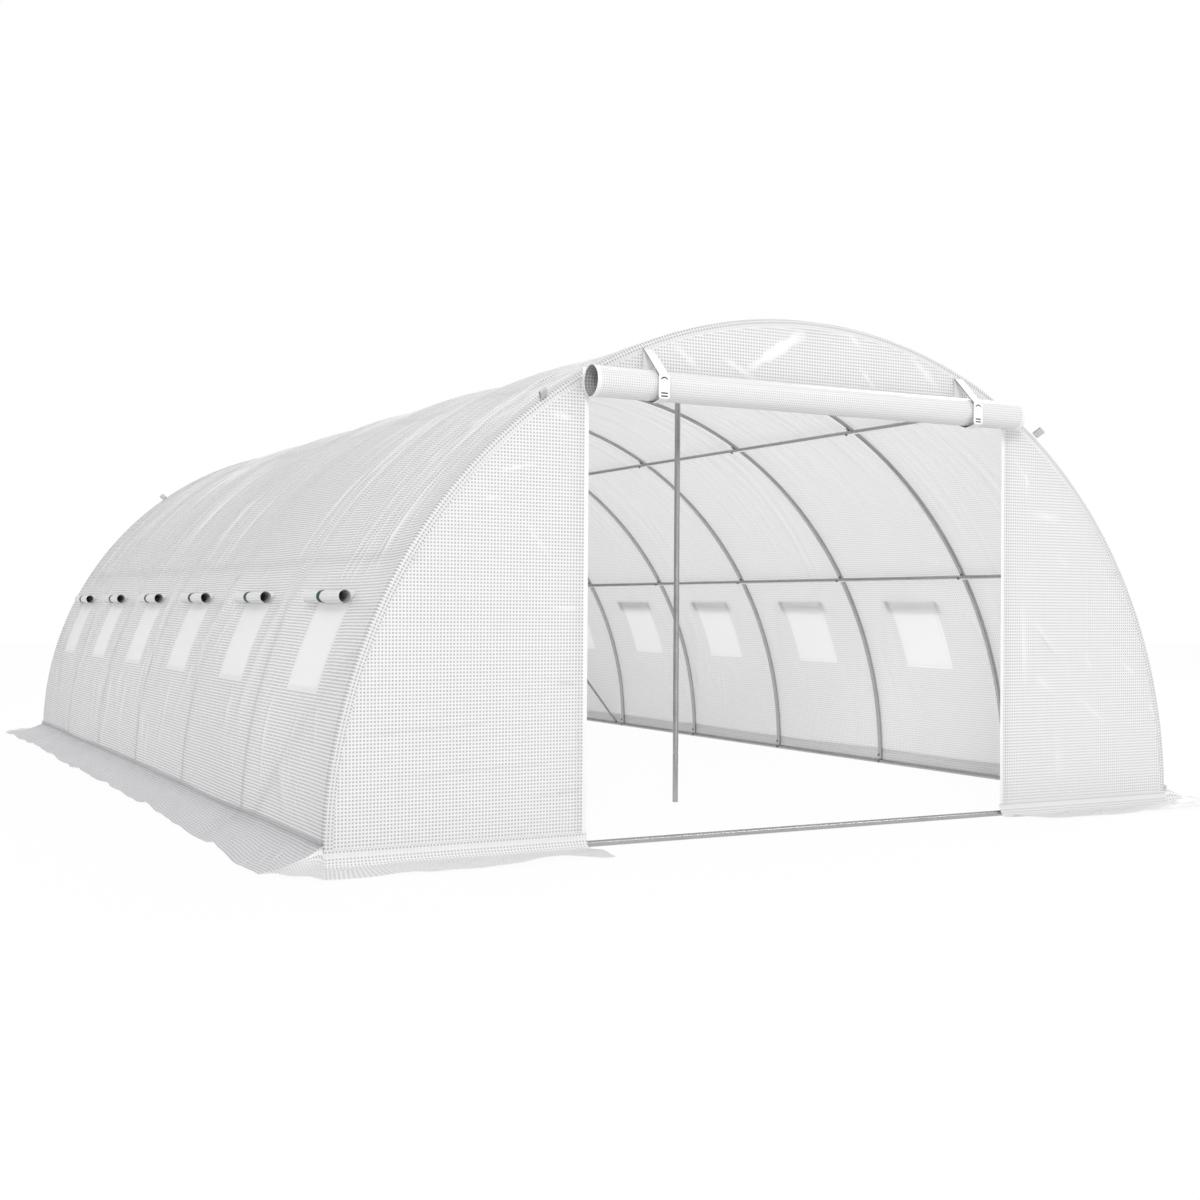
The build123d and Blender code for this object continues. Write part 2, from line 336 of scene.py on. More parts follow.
def sheetMaterial(name, **changes):
    look = {**sheetLook, **changes}
    material, tree, shader, out = newMaterial(name)
    flat = addNode(tree, "UVMap", uv_map="flat").outputs[0]
    tone = useGroup(tree, sheetTone, Place=flat)
    cellDark, cell, thread = (grey(look[key], look["tint"]) for key in ("cellDark", "cell", "thread"))
    colour, height = blendColour(tree, tone["Tone"], cellDark, cell), tone["Crumple"]
    if look["pitch"]:
        weave = useGroup(tree, gridWeave, Place=flat, Pitch=look["pitch"], Thread=look["threadShare"])
        colour = blendColour(tree, weave["Threads"], colour, thread)
        height = calc(tree, "ADD", calc(tree, "MULTIPLY", weave["Height"], look["threadHeight"]), height)
    # painted light: the back is evened towards a pale grey, as the sheet looks when lit from behind, and its marks are
    # weaker there; marks above nought are painted highlight, marks below nought painted shade
    back = addNode(tree, "NewGeometry").outputs["Backfacing"]
    colour = blendColour(tree, calc(tree, "MULTIPLY", back, look["soften"]), colour, grey(look["mean"]))
    crease = addNode(tree, "Attribute", attribute_name="crease").outputs["Fac"]
    outer = calc(tree, "SUBTRACT", 1.0, calc(tree, "MULTIPLY", back, look["inner"]))
    crease = calc(tree, "MULTIPLY", crease, outer)
    colour = blendColour(tree, slope(tree, crease, 0.0, 1.0, 0.0, look["highlightShare"]), colour, grey(look["crease"]))
    colour = blendColour(tree, slope(tree, crease, -1.0, 0.0, look["leeShadeShare"], 0.0), colour, grey(look["leeShadeGrey"]))
    plugAll(tree, shader, {
        "Base Color": colour,
        "Roughness": slope(tree, tone["Tone"], *noiseRange, look["gloss"] + look["dulling"], look["gloss"]),
        "Specular IOR Level": look["shine"], "Sheen Weight": look["sheen"], "Alpha": look["threads"],
        "Normal": bumpOf(tree, height, look["bump"], look["bumpDepth"]),
    })
    if look["through"]:
        behind = setNode(tree, "BsdfTranslucent", {"Color": colour}).outputs[0]
        both = setNode(tree, "MixShader", {0: look["through"], 1: shader.outputs[0], 2: behind})
        tree.links.new(both.outputs[0], out.inputs[0])
    return material


def tubeMaterial(name, dark, light, under, gloss, metal, tint=(1.0, 1.0, 1.0)):
    material, tree, shader, _ = newMaterial(name)
    grain = useGroup(tree, zincGrain, Place=addNode(tree, "TexCoord").outputs["Object"])
    # painted highlight: the zinc fades to near white on its underside, standing in for the bright floor it reflects
    facing = partsOf(tree, addNode(tree, "TexCoord").outputs["Normal"])
    underGlow = remap(tree, calc(tree, "MULTIPLY", facing[2], -1.0), 0.62, 0.84)
    zinc = blendColour(tree, grain["Tone"], grey(dark, tint), grey(light, tint))
    plugAll(tree, shader, {
        "Base Color": blendColour(tree, underGlow, zinc, grey(under)), "Metallic": metal,
        "Roughness": slope(tree, grain["Dull"], *noiseRange, gloss, gloss + 0.14),
        "Normal": bumpOf(tree, grain["Tone"], 0.06, 0.001),
    })
    return material


def webbingMaterial(name, dark, light, pitch=0.004):
    material, tree, shader, _ = newMaterial(name)
    flat = addNode(tree, "UVMap", uv_map="flat").outputs[0]
    ribs = useGroup(tree, webWeave, Place=flat, Pitch=pitch)["Ribs"]
    plugAll(tree, shader, {
        "Base Color": blendColour(tree, ribs, dark, light), "Roughness": slope(tree, ribs, 0.0, 1.0, 0.75, 0.55),
        "Normal": bumpOf(tree, ribs, 0.5, 0.0008),
    })
    return material


def plasticMaterial(name, dark, light, gloss):
    material, tree, shader, _ = newMaterial(name)
    place = addNode(tree, "TexCoord").outputs["Object"]
    grain, wear = noiseOf(tree, place, 180.0, 4.0), noiseOf(tree, place, 22.0)
    plugAll(tree, shader, {
        "Base Color": blendColour(tree, wear, dark, light),
        "Roughness": slope(tree, wear, *noiseRange, gloss, gloss + 0.12), "Normal": bumpOf(tree, grain, 0.08, 0.0006),
    })
    return material


lavender, coldZinc = (0.985, 0.985, 1.01), (0.99, 1, 1)
coverSheet = sheetMaterial("coverSheet", cell=0.43, cellDark=0.36, thread=0.95, shine=0.15, soften=0.6)
wallSheet = sheetMaterial("wallSheet", thread=0.9, through=0.25)
rollSheet = sheetMaterial("rollSheet", cell=0.74, cellDark=0.68, thread=0.92, gloss=0.2, through=0.2)
doorSheet = sheetMaterial("doorSheet", cell=0.7, cellDark=0.64, thread=0.93, pitch=0.0145, gloss=0.1, through=0.2)
skirtSheet = sheetMaterial("skirtSheet", cell=0.43, cellDark=0.38, thread=0.78, tint=lavender, through=0.5)
endSkirtSheet = sheetMaterial("endSkirtSheet", cell=0.58, cellDark=0.5, thread=0.9, through=0.2)
hemTape = sheetMaterial("hemTape", cell=0.93, cellDark=0.87, pitch=0, through=0.12, bump=0.12)
windowTape = sheetMaterial("windowTape", cell=0.93, cellDark=0.88, tint=lavender, pitch=0, through=0.5, bump=0.12)
stripTape = sheetMaterial("stripTape", cell=0.97, cellDark=0.95, pitch=0, through=0.1, bump=0.12)
windowNet = sheetMaterial("windowNet", cell=0.97, cellDark=0.95, thread=0.98, pitch=0.003, threadShare=0.6,
                          through=0.35, gloss=0.6, shine=0.3, sheen=1.0, threads=0.92)
# painted shade: the dark greys inside the rolls stand in for the shade within them
flapRollShade = sheetMaterial("flapRollShade", cell=0.42, cellDark=0.34, thread=0.6, through=0, gloss=0.5)
doorRollShade = sheetMaterial("doorRollShade", cell=0.22, cellDark=0.18, thread=0.44, through=0, gloss=0.5)
# the 0.95 is the near white painted on the tubes' undersides as a reflected highlight
zincTube = tubeMaterial("zincTube", 0.32, 0.52, 0.95, 0.13, 1.0, coldZinc)
boltSteel = tubeMaterial("boltSteel", 0.12, 0.26, 0.3, 0.35, 0.9)
strapWeb = webbingMaterial("strapWeb", grey(0.72), grey(0.9))
loopWeb = webbingMaterial("loopWeb", grey(0.42), grey(0.66))
# painted shadow: near black webbing that stands in for the shade inside the buckles' slots
slotShadeWeb = webbingMaterial("slotShadeWeb", grey(0.015), grey(0.035))
# painted shade: the straps' edges are near black, standing in for the shade beside the buckles and under the roll
strapEdgeShade = webbingMaterial("strapEdgeShade", grey(0.07), grey(0.14))
tieWeb = webbingMaterial("tieWeb", (0.001, 0.03, 0.007, 1), (0.003, 0.085, 0.02, 1), 0.003)
bucklePlastic = plasticMaterial("bucklePlastic", grey(0.84), grey(0.93), 0.28)
print("materials ready")


# tubes
tubes = {
    "sides": 20, "wall": 0.0014, "bore": 0.05,
    "hoop": 0.019, "rail": 0.019, "purlin": 0.016, "post": 0.019, "door": 0.016, "brace": 0.0125,
    "hoopSteps": 72, "merge": 0.0001, "swageDrop": 0.0012, "swageRun": 0.022, "swageNear": 0.0004,
    "footHeight": 0.0383, "sillHalf": 2.9574, "sillJoint": 1.0, "postTop": 2.9735, "postJoints": (0.33, 1.65),
    "purlinJoint": 0.08, "railJoint": 0.1,  # past each hoop
}
doorFrame = {"post": 1.545, "postTop": 2.5237, "lintelHalf": 1.561, "lintel": 2.54}
brace = {"headRise": 1.05, "headIn": 0.012, "footIn": 0.15, "footHeight": 0.03, "footGap": 0.012}
purlinRuns = {"left_side_purlin": -16, "left_upper_purlin": -8, "ridge_purlin": 0, "right_upper_purlin": 8,
              "right_side_purlin": 16}  # straight runs of the hoop, from its top
purlinAngles = {node: radians(runs * 180 / tunnel["hoopRuns"]) for node, runs in purlinRuns.items()}


def pick(piece, kind, test):
    # selects the polygons or vertices that pass a test, and goes to edit mode
    selectOnly(piece)
    bpy.context.tool_settings.mesh_select_mode = (kind == "vertices", False, kind == "polygons")
    for layer in ("vertices", "edges", "polygons"):
        items = getattr(piece.data, layer)
        items.foreach_set("select", np.array([layer == kind and bool(test(item)) for item in items]))
    editMode()


def straightTube(name, start, end, radius):
    start, end = Vector(start), Vector(end)
    run = end - start
    axis = run.normalized()
    selectOnly()
    bpy.ops.mesh.primitive_cylinder_add(vertices=tubes["sides"], radius=radius, depth=run.length,
                                        location=(start + end) / 2, rotation=run.to_track_quat("Z", "Y").to_euler())
    tube = newest(name)
    for way in (1, -1):  # open the ends to the tube's wall
        pick(tube, "polygons", lambda face: face.normal.dot(axis * way) > 0.99)
        bpy.ops.mesh.inset(thickness=tubes["wall"])
        bpy.ops.mesh.extrude_region_move(TRANSFORM_OT_translate={"value": axis * (-way * tubes["bore"])})
        editMode(False)
    return tube


def swageAt(tube, point, axis, radius):
    # the narrowed end of one length of tube, pushed into the next
    point, axis = Vector(point), Vector(axis)
    shrunk = (radius - tubes["swageDrop"]) / radius
    pick(tube, "vertices", lambda vertex: True)
    for place in (0, tubes["swageDrop"], tubes["swageRun"]):
        selectAll()
        bpy.ops.mesh.bisect(plane_co=point + axis * place, plane_no=axis)
    editMode(False)
    step = point + axis * tubes["swageDrop"]
    pick(tube, "vertices", lambda vertex: abs((vertex.co - step).dot(axis)) < tubes["swageNear"])
    value = [shrunk + (1 - shrunk) * abs(axis[i]) for i in range(3)]
    bpy.ops.transform.resize(value=value, center_override=step)
    editMode(False)


def jointedTube(name, start, end, radius, joints, axis):
    tube = straightTube(name, start, end, radius)
    for joint in joints:
        swageAt(tube, joint, axis, radius)
    return tube


def finishMetal(piece, material, angle=40):
    piece.data.materials.clear()
    piece.data.materials.append(material)
    selectOnly(piece)
    bpy.ops.object.shade_smooth_by_angle(angle=radians(angle))


def finishTube(tube, node):
    finishMetal(tube, zincTube)
    finishPiece(tube, "galvanised_steel", node)


def bentHoop(name):
    # one foot, the half-round bend and the other foot, from a ring of tube
    selectOnly()
    bpy.ops.mesh.primitive_circle_add(vertices=tubes["sides"], radius=tubes["hoop"], fill_type="NOTHING",
                                      location=(tunnel["hoopRadius"], 0, tubes["footHeight"]))
    hoop = newest(name)
    rise = spring - tubes["footHeight"]
    editMode()
    selectAll()
    bpy.ops.mesh.extrude_region_move(TRANSFORM_OT_translate={"value": (0, 0, rise)})
    bpy.ops.mesh.spin(steps=tubes["hoopSteps"], angle=pi, center=(0, 0, spring), axis=yAxis)
    bpy.ops.mesh.extrude_region_move(TRANSFORM_OT_translate={"value": (0, 0, -rise)})
    selectAll()
    bpy.ops.mesh.remove_doubles(threshold=tubes["merge"])
    bpy.ops.mesh.normals_make_consistent(inside=False)
    editMode(False)
    return hoop


def copyPiece(piece, name, matrix):
    twin = piece.copy()
    twin.data = piece.data.copy()
    twin.data.transform(matrix)
    twin.name = name
    bpy.context.scene.collection.objects.link(twin)
    return twin


hoopNodes = ["front_hoop", "hoop_2", "hoop_3", "hoop_4", "hoop_5", "hoop_6", "rear_hoop"]
hoops = [bentHoop("hoopTube1")]
finishMetal(hoops[0], zincTube)
hoops[0].data.transform(Matrix.Translation((0, hoopYs[0], 0)))
for i, y in enumerate(hoopYs[1:]):
    hoops.append(copyPiece(hoops[0], f"hoopTube{i + 2}", Matrix.Translation((0, y - hoopYs[0], 0))))
for hoop, node in zip(hoops, hoopNodes):
    finishPiece(hoop, "galvanised_steel", node)

longTubes = []  # node, name, x, z, radius and joints' place of each tube along the tunnel
for node, angle in purlinAngles.items():
    x, z = tunnel["purlinRadius"] * sin(angle), spring + tunnel["purlinRadius"] * cos(angle)
    name = "".join(word.title() for word in node.split("_"))
    longTubes.append((node, name, x, z, tubes["purlin"], tubes["purlinJoint"]))
for sideName, side in sides:
    longTubes.append((f"{sideName}_base_rail", sideName + "BaseRail", side * tunnel["hoopRadius"], tubes["rail"],
                      tubes["rail"], tubes["railJoint"]))
for node, name, x, z, radius, joint in longTubes:
    joints = [(x, y + joint, z) for y in hoopYs[1:-1]]
    tube = jointedTube(name, (x, -tunnel["tubeEnd"], z), (x, tunnel["tubeEnd"], z), radius, joints, yAxis)
    finishTube(tube, node)

for endName, end in ends:
    y = end * endHoop
    ways = (-1, 1)
    left, right = ((way * tubes["sillHalf"], y, tubes["rail"]) for way in ways)
    joints = [(way * tubes["sillJoint"], y, tubes["rail"]) for way in ways]
    finishTube(jointedTube(endName + "SillRail", left, right, tubes["rail"], joints, xAxis), f"{endName}_sill_rail")
    parts = [straightTube(f"{endName}Post{way}", (way * doorFrame["post"], y, tubes["footHeight"]),
                          (way * doorFrame["post"], y, doorFrame["postTop"]), tubes["door"]) for way in ways]
    left, right = ((way * doorFrame["lintelHalf"], y, doorFrame["lintel"]) for way in ways)
    parts.append(straightTube(f"{endName}Lintel", left, right, tubes["door"]))
    finishTube(joinPieces(parts, endName + "DoorFrame"), f"{endName}_door_frame")

posts = [jointedTube("post", (0, y, 0), (0, y, tubes["postTop"]), tubes["post"],
                     [(0, y, z) for z in tubes["postJoints"]], zAxis) for y in hoopYs[1:-1]]
finishTube(joinPieces(posts, "centrePosts"), "centre_posts")

braceHeadX = sqrt(tunnel["hoopRadius"] ** 2 - brace["headRise"] ** 2)
braceFootY = endHoop - bayLength + brace["footIn"]
braces = []
for end, side in corners:
    foot = Vector((side * tunnel["hoopRadius"], end * braceFootY, brace["footHeight"]))
    head = Vector((side * braceHeadX, end * (endHoop - brace["headIn"]), spring + brace["headRise"]))
    footEnd = foot + (head - foot).normalized() * brace["footGap"]
    braces.append(straightTube("brace", footEnd, head, tubes["brace"]))
finishTube(joinPieces(braces, "cornerBraces"), "corner_braces")
print("tubes done")

# bolts, a hexagon head on a washer: sides, radius, height and bevel of each
bolt = {"washer": (14, 0.0105, 0.0016, 0.0004), "head": (6, 0.0075, 0.006, 0.001),
        "railTop": 0.075, "doorHigh": 2.495, "doorLow": 0.065}  # places on the tubes


def boltPart(part, base, segments):
    count, radius, height, bevel = bolt[part]
    selectOnly()
    bpy.ops.mesh.primitive_cylinder_add(vertices=count, radius=radius, depth=height, location=(0, 0, base + height / 2))
    piece = newest(part)
    pick(piece, "polygons", lambda face: face.normal.z > 0.9)
    bpy.ops.mesh.bevel(offset=bevel, segments=segments, affect="EDGES")
    editMode(False)
    return piece


boltPlaces = []  # point on a tube, and the way out of it
for y in hoopYs:
    for angle in purlinAngles.values():
        inward = Vector((-sin(angle), 0, -cos(angle)))
        reach = tunnel["purlinRadius"] - tubes["purlin"]
        boltPlaces.append((Vector((0, y, spring)) - inward * reach, inward))
    for side in (-1, 1):
        inward = Vector((-side, 0, 0))
        for z, reach in ((tubes["rail"], tubes["rail"]), (bolt["railTop"], tubes["hoop"])):
            boltPlaces.append((Vector((side * tunnel["hoopRadius"], y, z)) + inward * reach, inward))
for end, side in corners:
    inward = Vector((0, -end, 0))
    for x, z in ((doorFrame["post"], bolt["doorHigh"]), (doorFrame["post"], bolt["doorLow"]),
                 (doorHalf, doorFrame["lintel"])):
        boltPlaces.append((Vector((side * x, end * endHoop, z)) + inward * tubes["door"], inward))
firstBolt = joinPieces([boltPart("head", bolt["washer"][2], 2), boltPart("washer", 0, 1)], "oneBolt")
finishMetal(firstBolt, boltSteel, 30)
boltCopies = []
for i, (point, out) in enumerate(boltPlaces):
    matrix = Matrix.Translation(point) @ out.to_track_quat("Z", "Y").to_matrix().to_4x4()
    boltCopies.append(copyPiece(firstBolt, f"bolt{i}", matrix))
bpy.data.objects.remove(firstBolt)
finishPiece(joinPieces(boltCopies, "frameBolts"), "galvanised_steel")
print("bolts done", len(boltPlaces))

# the tunnel cover, one sheet from foot to foot over the hoops
cover = {
    "sag": 0.03,  # dip between the hoops at the ridge
    "pleat": 0.013, "uneven": 0.008, "seam": 0.003, "seamHeight": 1.545, "seamHalf": 0.02, "roofStart": 2.1,
    "wallRows": 0.065, "roofRows": 0.15, "columns": 0.009, "turn": 0.019, "foot": 0.035,
    "endHold": (0.02, 0.14), "footHold": (-0.01, 0.12),  # tight at the edges, from and to
    "hoopGap": 0.001, "steepest": 0.12,  # how fast the sheet may dip beside a hoop
}
windows = {"sill": 0.857, "top": 1.345, "half": 0.28, "border": 0.03, "topStrip": 0.062, "beside": 0.14, "fade": 0.12}
folds = {
    # the pale line painted over each hoop offsets the shadow that the hoop casts in the sheet
    "seed": 17, "lee": 0.6, "overHoop": 0.026, "hoopShadowFill": 0.85,
    "widen": 0.1,  # per metre away from the door
    "lowest": 1.41,  # of the long creases, above the windows
}
roofFolds = {"groups": 46, "first": -4.45, "run": 8.7, "crowd": 1.5, "start": (1.42, 3.4), "length": (0.8, 2.5),
             "lean": 0.07, "apart": (0.05, 0.11), "width": (0.013, 0.024), "height": (0.004, 0.01), "highlightAndShade": (0.3, 1.0),
             # within a group: how many, and how they vary
             "lines": (3, 7), "places": (0.7, 1.3), "starts": 0.2, "lengths": (0.5, 1.1), "leans": 0.02, "bow": 0.015}
wallFolds = [  # broad slanted ones, slack above the ground, and short sharp ones between them
    {"count": 46, "first": -4.4, "run": 8.8, "crowd": 1.0, "start": (0.04, 1.0), "length": (0.3, 1.2), "lean": 0.35,
     "bow": 0.06, "width": (0.035, 0.08), "widen": 0, "height": (0.006, 0.016), "highlightAndShade": (0.0, 0.35)},
    {"count": 44, "first": -4.4, "run": 8.6, "crowd": 1.2, "start": (0.1, 1.1), "length": (0.2, 0.7), "lean": 0.45,
     "bow": 0.08, "width": (0.014, 0.024), "widen": folds["widen"], "height": (0.003, 0.008), "highlightAndShade": (0.2, 0.75)},
]


def arcAt(height):
    return arcRadius * asin((height - spring) / arcRadius)


def fromFoot(t):
    return np.minimum(t, arcLength - t)


arcSill, arcTop, arcSeam = (arcAt(height) for height in (windows["sill"], windows["top"], cover["seamHeight"]))


def makeFolds():
    # side, place along the tunnel, start and length up the arc, lean, bow, half width, height, and strength of the
    # painted highlight and shade of each
    dice = np.random.RandomState(folds["seed"])
    lines = []
    for side in (0, 1):
        look = roofFolds
        for i in range(look["groups"]):  # groups of long creases, pulled tight over the roof
            y = look["first"] + look["run"] * dice.rand() ** look["crowd"]
            start, length = dice.uniform(*look["start"]), dice.uniform(*look["length"])
            lean = dice.normal(0, look["lean"])
            apart = dice.uniform(*look["apart"]) * (1 + folds["widen"] * (y + halfLength))
            for k in range(dice.randint(*look["lines"])):
                place = y + k * apart * dice.uniform(*look["places"])
                lines.append((side, place, max(folds["lowest"], start + dice.normal(0, look["starts"])),
                              length * dice.uniform(*look["lengths"]), lean + dice.normal(0, look["leans"]),
                              dice.normal(0, look["bow"]) * length,
                              dice.uniform(*look["width"]) * (1 + folds["widen"] * (place + halfLength)),
                              dice.uniform(*look["height"]), dice.uniform(*look["highlightAndShade"])))
        for look in wallFolds:
            for i in range(look["count"]):
                y = look["first"] + look["run"] * dice.rand() ** look["crowd"]
                start, length = dice.uniform(*look["start"]), dice.uniform(*look["length"])
                lines.append((side, y, start, length, dice.normal(0, look["lean"]),
                              dice.normal(0, look["bow"]) * length,
                              dice.uniform(*look["width"]) * (1 + look["widen"] * (y + halfLength)),
                              dice.uniform(*look["height"]), dice.uniform(*look["highlightAndShade"])))
    return lines


foldLines = makeFolds()


def foldLift(t, y):
    # how far the folds stand out, and their painted highlight less the painted shade on their far side; t grows down
    # the rows and y along the columns
    lift, highlightAndShade = np.zeros(t.shape), np.zeros(t.shape)
    placesT, placesY = t[:, 0], y[0]
    for side, place, start, length, lean, bow, width, height, paintStrength in foldLines:
        up = arcLength - placesT if side else placesT
        rows = np.flatnonzero((up > start) & (up < start + length))
        columns = np.flatnonzero(np.abs(placesY - place) < abs(lean) * length + abs(bow) + 4 * width)
        if len(rows) and len(columns):
            share = (up[rows] - start) / length
            middle = place + lean * length * share + bow * np.sin(pi * share)
            off = (placesY[columns][None, :] - middle[:, None]) / width
            fade = np.sin(pi * share)[:, None] ** 0.6
            lift[np.ix_(rows, columns)] += height * fade * bell(off, 1.5)
            lee = folds["lee"] * bell((off - 1.6) / 0.8)  # painted shade on the fold's far side
            highlightAndShade[np.ix_(rows, columns)] += paintStrength * fade * (bell(1.3 * off) - lee)
    return lift, highlightAndShade


def bayShare(y):
    # from nought at one hoop to one at the next
    bay = np.clip((y + endHoop) / bayLength, 0, tunnel["bays"])
    return bay - np.floor(bay)


def besideWindow(t, y):
    # one at the windows, nought away from them
    foot = fromFoot(t)
    gapT = np.maximum(arcSill - foot, foot - arcTop - windows["topStrip"])
    gapY = np.abs(bayShare(y) - 0.5) * bayLength
    besideT = smooth(windows["beside"] - gapT, 0, windows["fade"])
    return besideT * smooth(windows["half"] + windows["beside"] - gapY, 0, windows["fade"])


def nearestHoop(y):
    return np.min(np.abs(y[..., None] - np.array(hoopYs)), axis=-1)


def coverStandOff(t, y):
    # how far the sheet stands off its round arc, by arc length from the left foot and place along
    part, foot = bayShare(y), fromFoot(t)
    span = 4 * part * (1 - part)
    dip = -cover["sag"] * 1.1 * span ** 2 / (span + 0.1) * (0.3 + 0.7 * np.sin(t / arcRadius))
    lean = y + 0.5 * (softNoise(y * 0.8, t * 0.3, 11) - 0.5) * foot  # broad pleats that fan up from the foot
    pleats = ridge(softNoise(lean * 3.1, t * 0.4, 3), 2.2)
    slant = ridge(softNoise((y + 0.4 * foot) * 2.3, (foot - 0.4 * y) * 0.5, 8), 3.0)
    lowWall = smooth(foot, 0.0, 0.4) * (1 - 0.7 * smooth(foot, 1.2, 2.8))
    slack = cover["pleat"] * (pleats - 0.4 + 0.5 * slant) * lowWall * (0.3 + 0.7 * span)
    slack = slack + cover["uneven"] * (softNoise(y * 1.7, t * 1.3, 14) - 0.5) * span + foldLift(t, y)[0]
    slack = slack * (1 - 0.85 * besideWindow(t, y))  # flat round the windows
    dip = dip + slack - cover["seam"] * bell((foot - arcSeam) / cover["seamHalf"])
    dip = np.maximum(dip, -cover["hoopGap"] - cover["steepest"] * nearestHoop(y))
    return dip * smooth(halfLength - np.abs(y), *cover["endHold"]) * smooth(foot, *cover["footHold"])


def coverPoint(t, y, lift):
    r, angle = sheetRadius + lift, t / arcRadius
    return stacked(-r * np.cos(angle), y, spring + r * np.sin(angle))


def turnedIn(over):
    # how far the sheet has gone in, where it turns over the end hoop
    return cover["turn"] - np.sqrt(cover["turn"] ** 2 - over ** 2)


turnEnd, turnRadius = sheetEnd - cover["turn"], sheetRadius - cover["turn"]
endPlaces = [turnEnd + cover["turn"] * sin(radians(a)) for a in (45, 22.5, 0)]
seamLow, seamHigh = arcSeam - cover["seamHalf"], arcSeam + cover["seamHalf"]
halfRows = np.concatenate([
    steps([-cover["foot"], 0, arcSill, arcSill + windows["border"], arcTop, arcTop + windows["topStrip"],
           seamLow, arcSeam, seamHigh], cover["wallRows"]),
    steps([seamHigh, cover["roofStart"], arcLength / 2], cover["roofRows"])[1:],
])
rowsT = np.concatenate([halfRows, arcLength - halfRows[-2::-1]])
windowInner = windows["half"] - windows["border"]
windowEdges = sorted(y + way * edge for y in bayCentres for way in (-1, 1) for edge in (windows["half"], windowInner))
columnsY = steps([-endPlaces[2]] + windowEdges + [endPlaces[2]], cover["columns"])
columnsY = np.concatenate([[-endPlaces[0], -endPlaces[1]], columnsY, [endPlaces[1], endPlaces[0]]])
gridT, gridY = np.meshgrid(rowsT, columnsY, indexing="ij")
lift = coverStandOff(gridT, gridY) - turnedIn(np.clip(np.abs(gridY) - turnEnd, 0, cover["turn"]))
middleFoot = fromFoot(middles(rowsT))[:, None]
fromCentre = np.min([np.abs(middles(columnsY) - y) for y in bayCentres], axis=0)[None, :]
opening = (middleFoot > arcSill + windows["border"]) & (middleFoot < arcTop) & (fromCentre < windowInner)
taped = (middleFoot > arcSill) & (middleFoot < arcTop + windows["topStrip"]) & (fromCentre < windows["half"])
taped = taped * np.where(middleFoot > arcTop, 2, 1)
aboveWindows = 0.4 + 0.6 * smooth(fromFoot(gridT), 1.0, 1.7)
# painted light: fold highlights and shade, and a pale line over each hoop that offsets the hoop's shadow
paintedLight = np.clip(foldLift(gridT, gridY)[1], -1, 1) * (1 - besideWindow(gridT, gridY))
paintedLight = paintedLight + folds["hoopShadowFill"] * bell(nearestHoop(gridY) / folds["overHoop"]) * aboveWindows
tunnelCover = gridPiece("tunnelCover", coverPoint(gridT, gridY, lift), stacked(gridT, gridY + 5),
                        [coverSheet, windowTape, stripTape], keep=~opening, finish=taped, paintedLight=paintedLight)
coverNodes = [f"{side}_{strip}_cover" for side in ("left", "right") for strip in ("wall", "lower_roof", "upper_roof")]
finishPiece(tunnelCover, "cover_sheet", *coverNodes)
print("cover", len(tunnelCover.data.polygons), "quads")

# window nets, sewn behind the taped openings
net = {"overlap": 0.01, "behind": 0.002, "belly": 0.004, "spacing": 0.03}
netLow, netHigh = arcSill + windows["border"] - net["overlap"], arcTop + net["overlap"]
netHalf = windowInner + net["overlap"]
for sideName, side in sides:
    for i, y in enumerate(bayCentres):
        netT, netY = steps([netLow, netHigh], net["spacing"]), steps([y - netHalf, y + netHalf], net["spacing"])
        netT, netY = np.meshgrid(netT if side < 0 else arcLength - netT[::-1], netY, indexing="ij")
        upShare = (fromFoot(netT) - netLow) / (netHigh - netLow)
        belly = net["belly"] * np.sin(pi * upShare) * np.cos(pi * (netY - y) / (2 * netHalf))
        netPoints = coverPoint(netT, netY, coverStandOff(netT, netY) - net["behind"] - belly)
        netPiece = gridPiece(f"{sideName}WindowNet{i + 1}", netPoints, stacked(netT, netY + 5), [windowNet])
        finishPiece(netPiece, "window_net", f"{sideName}_window_screens")
print("window nets done")


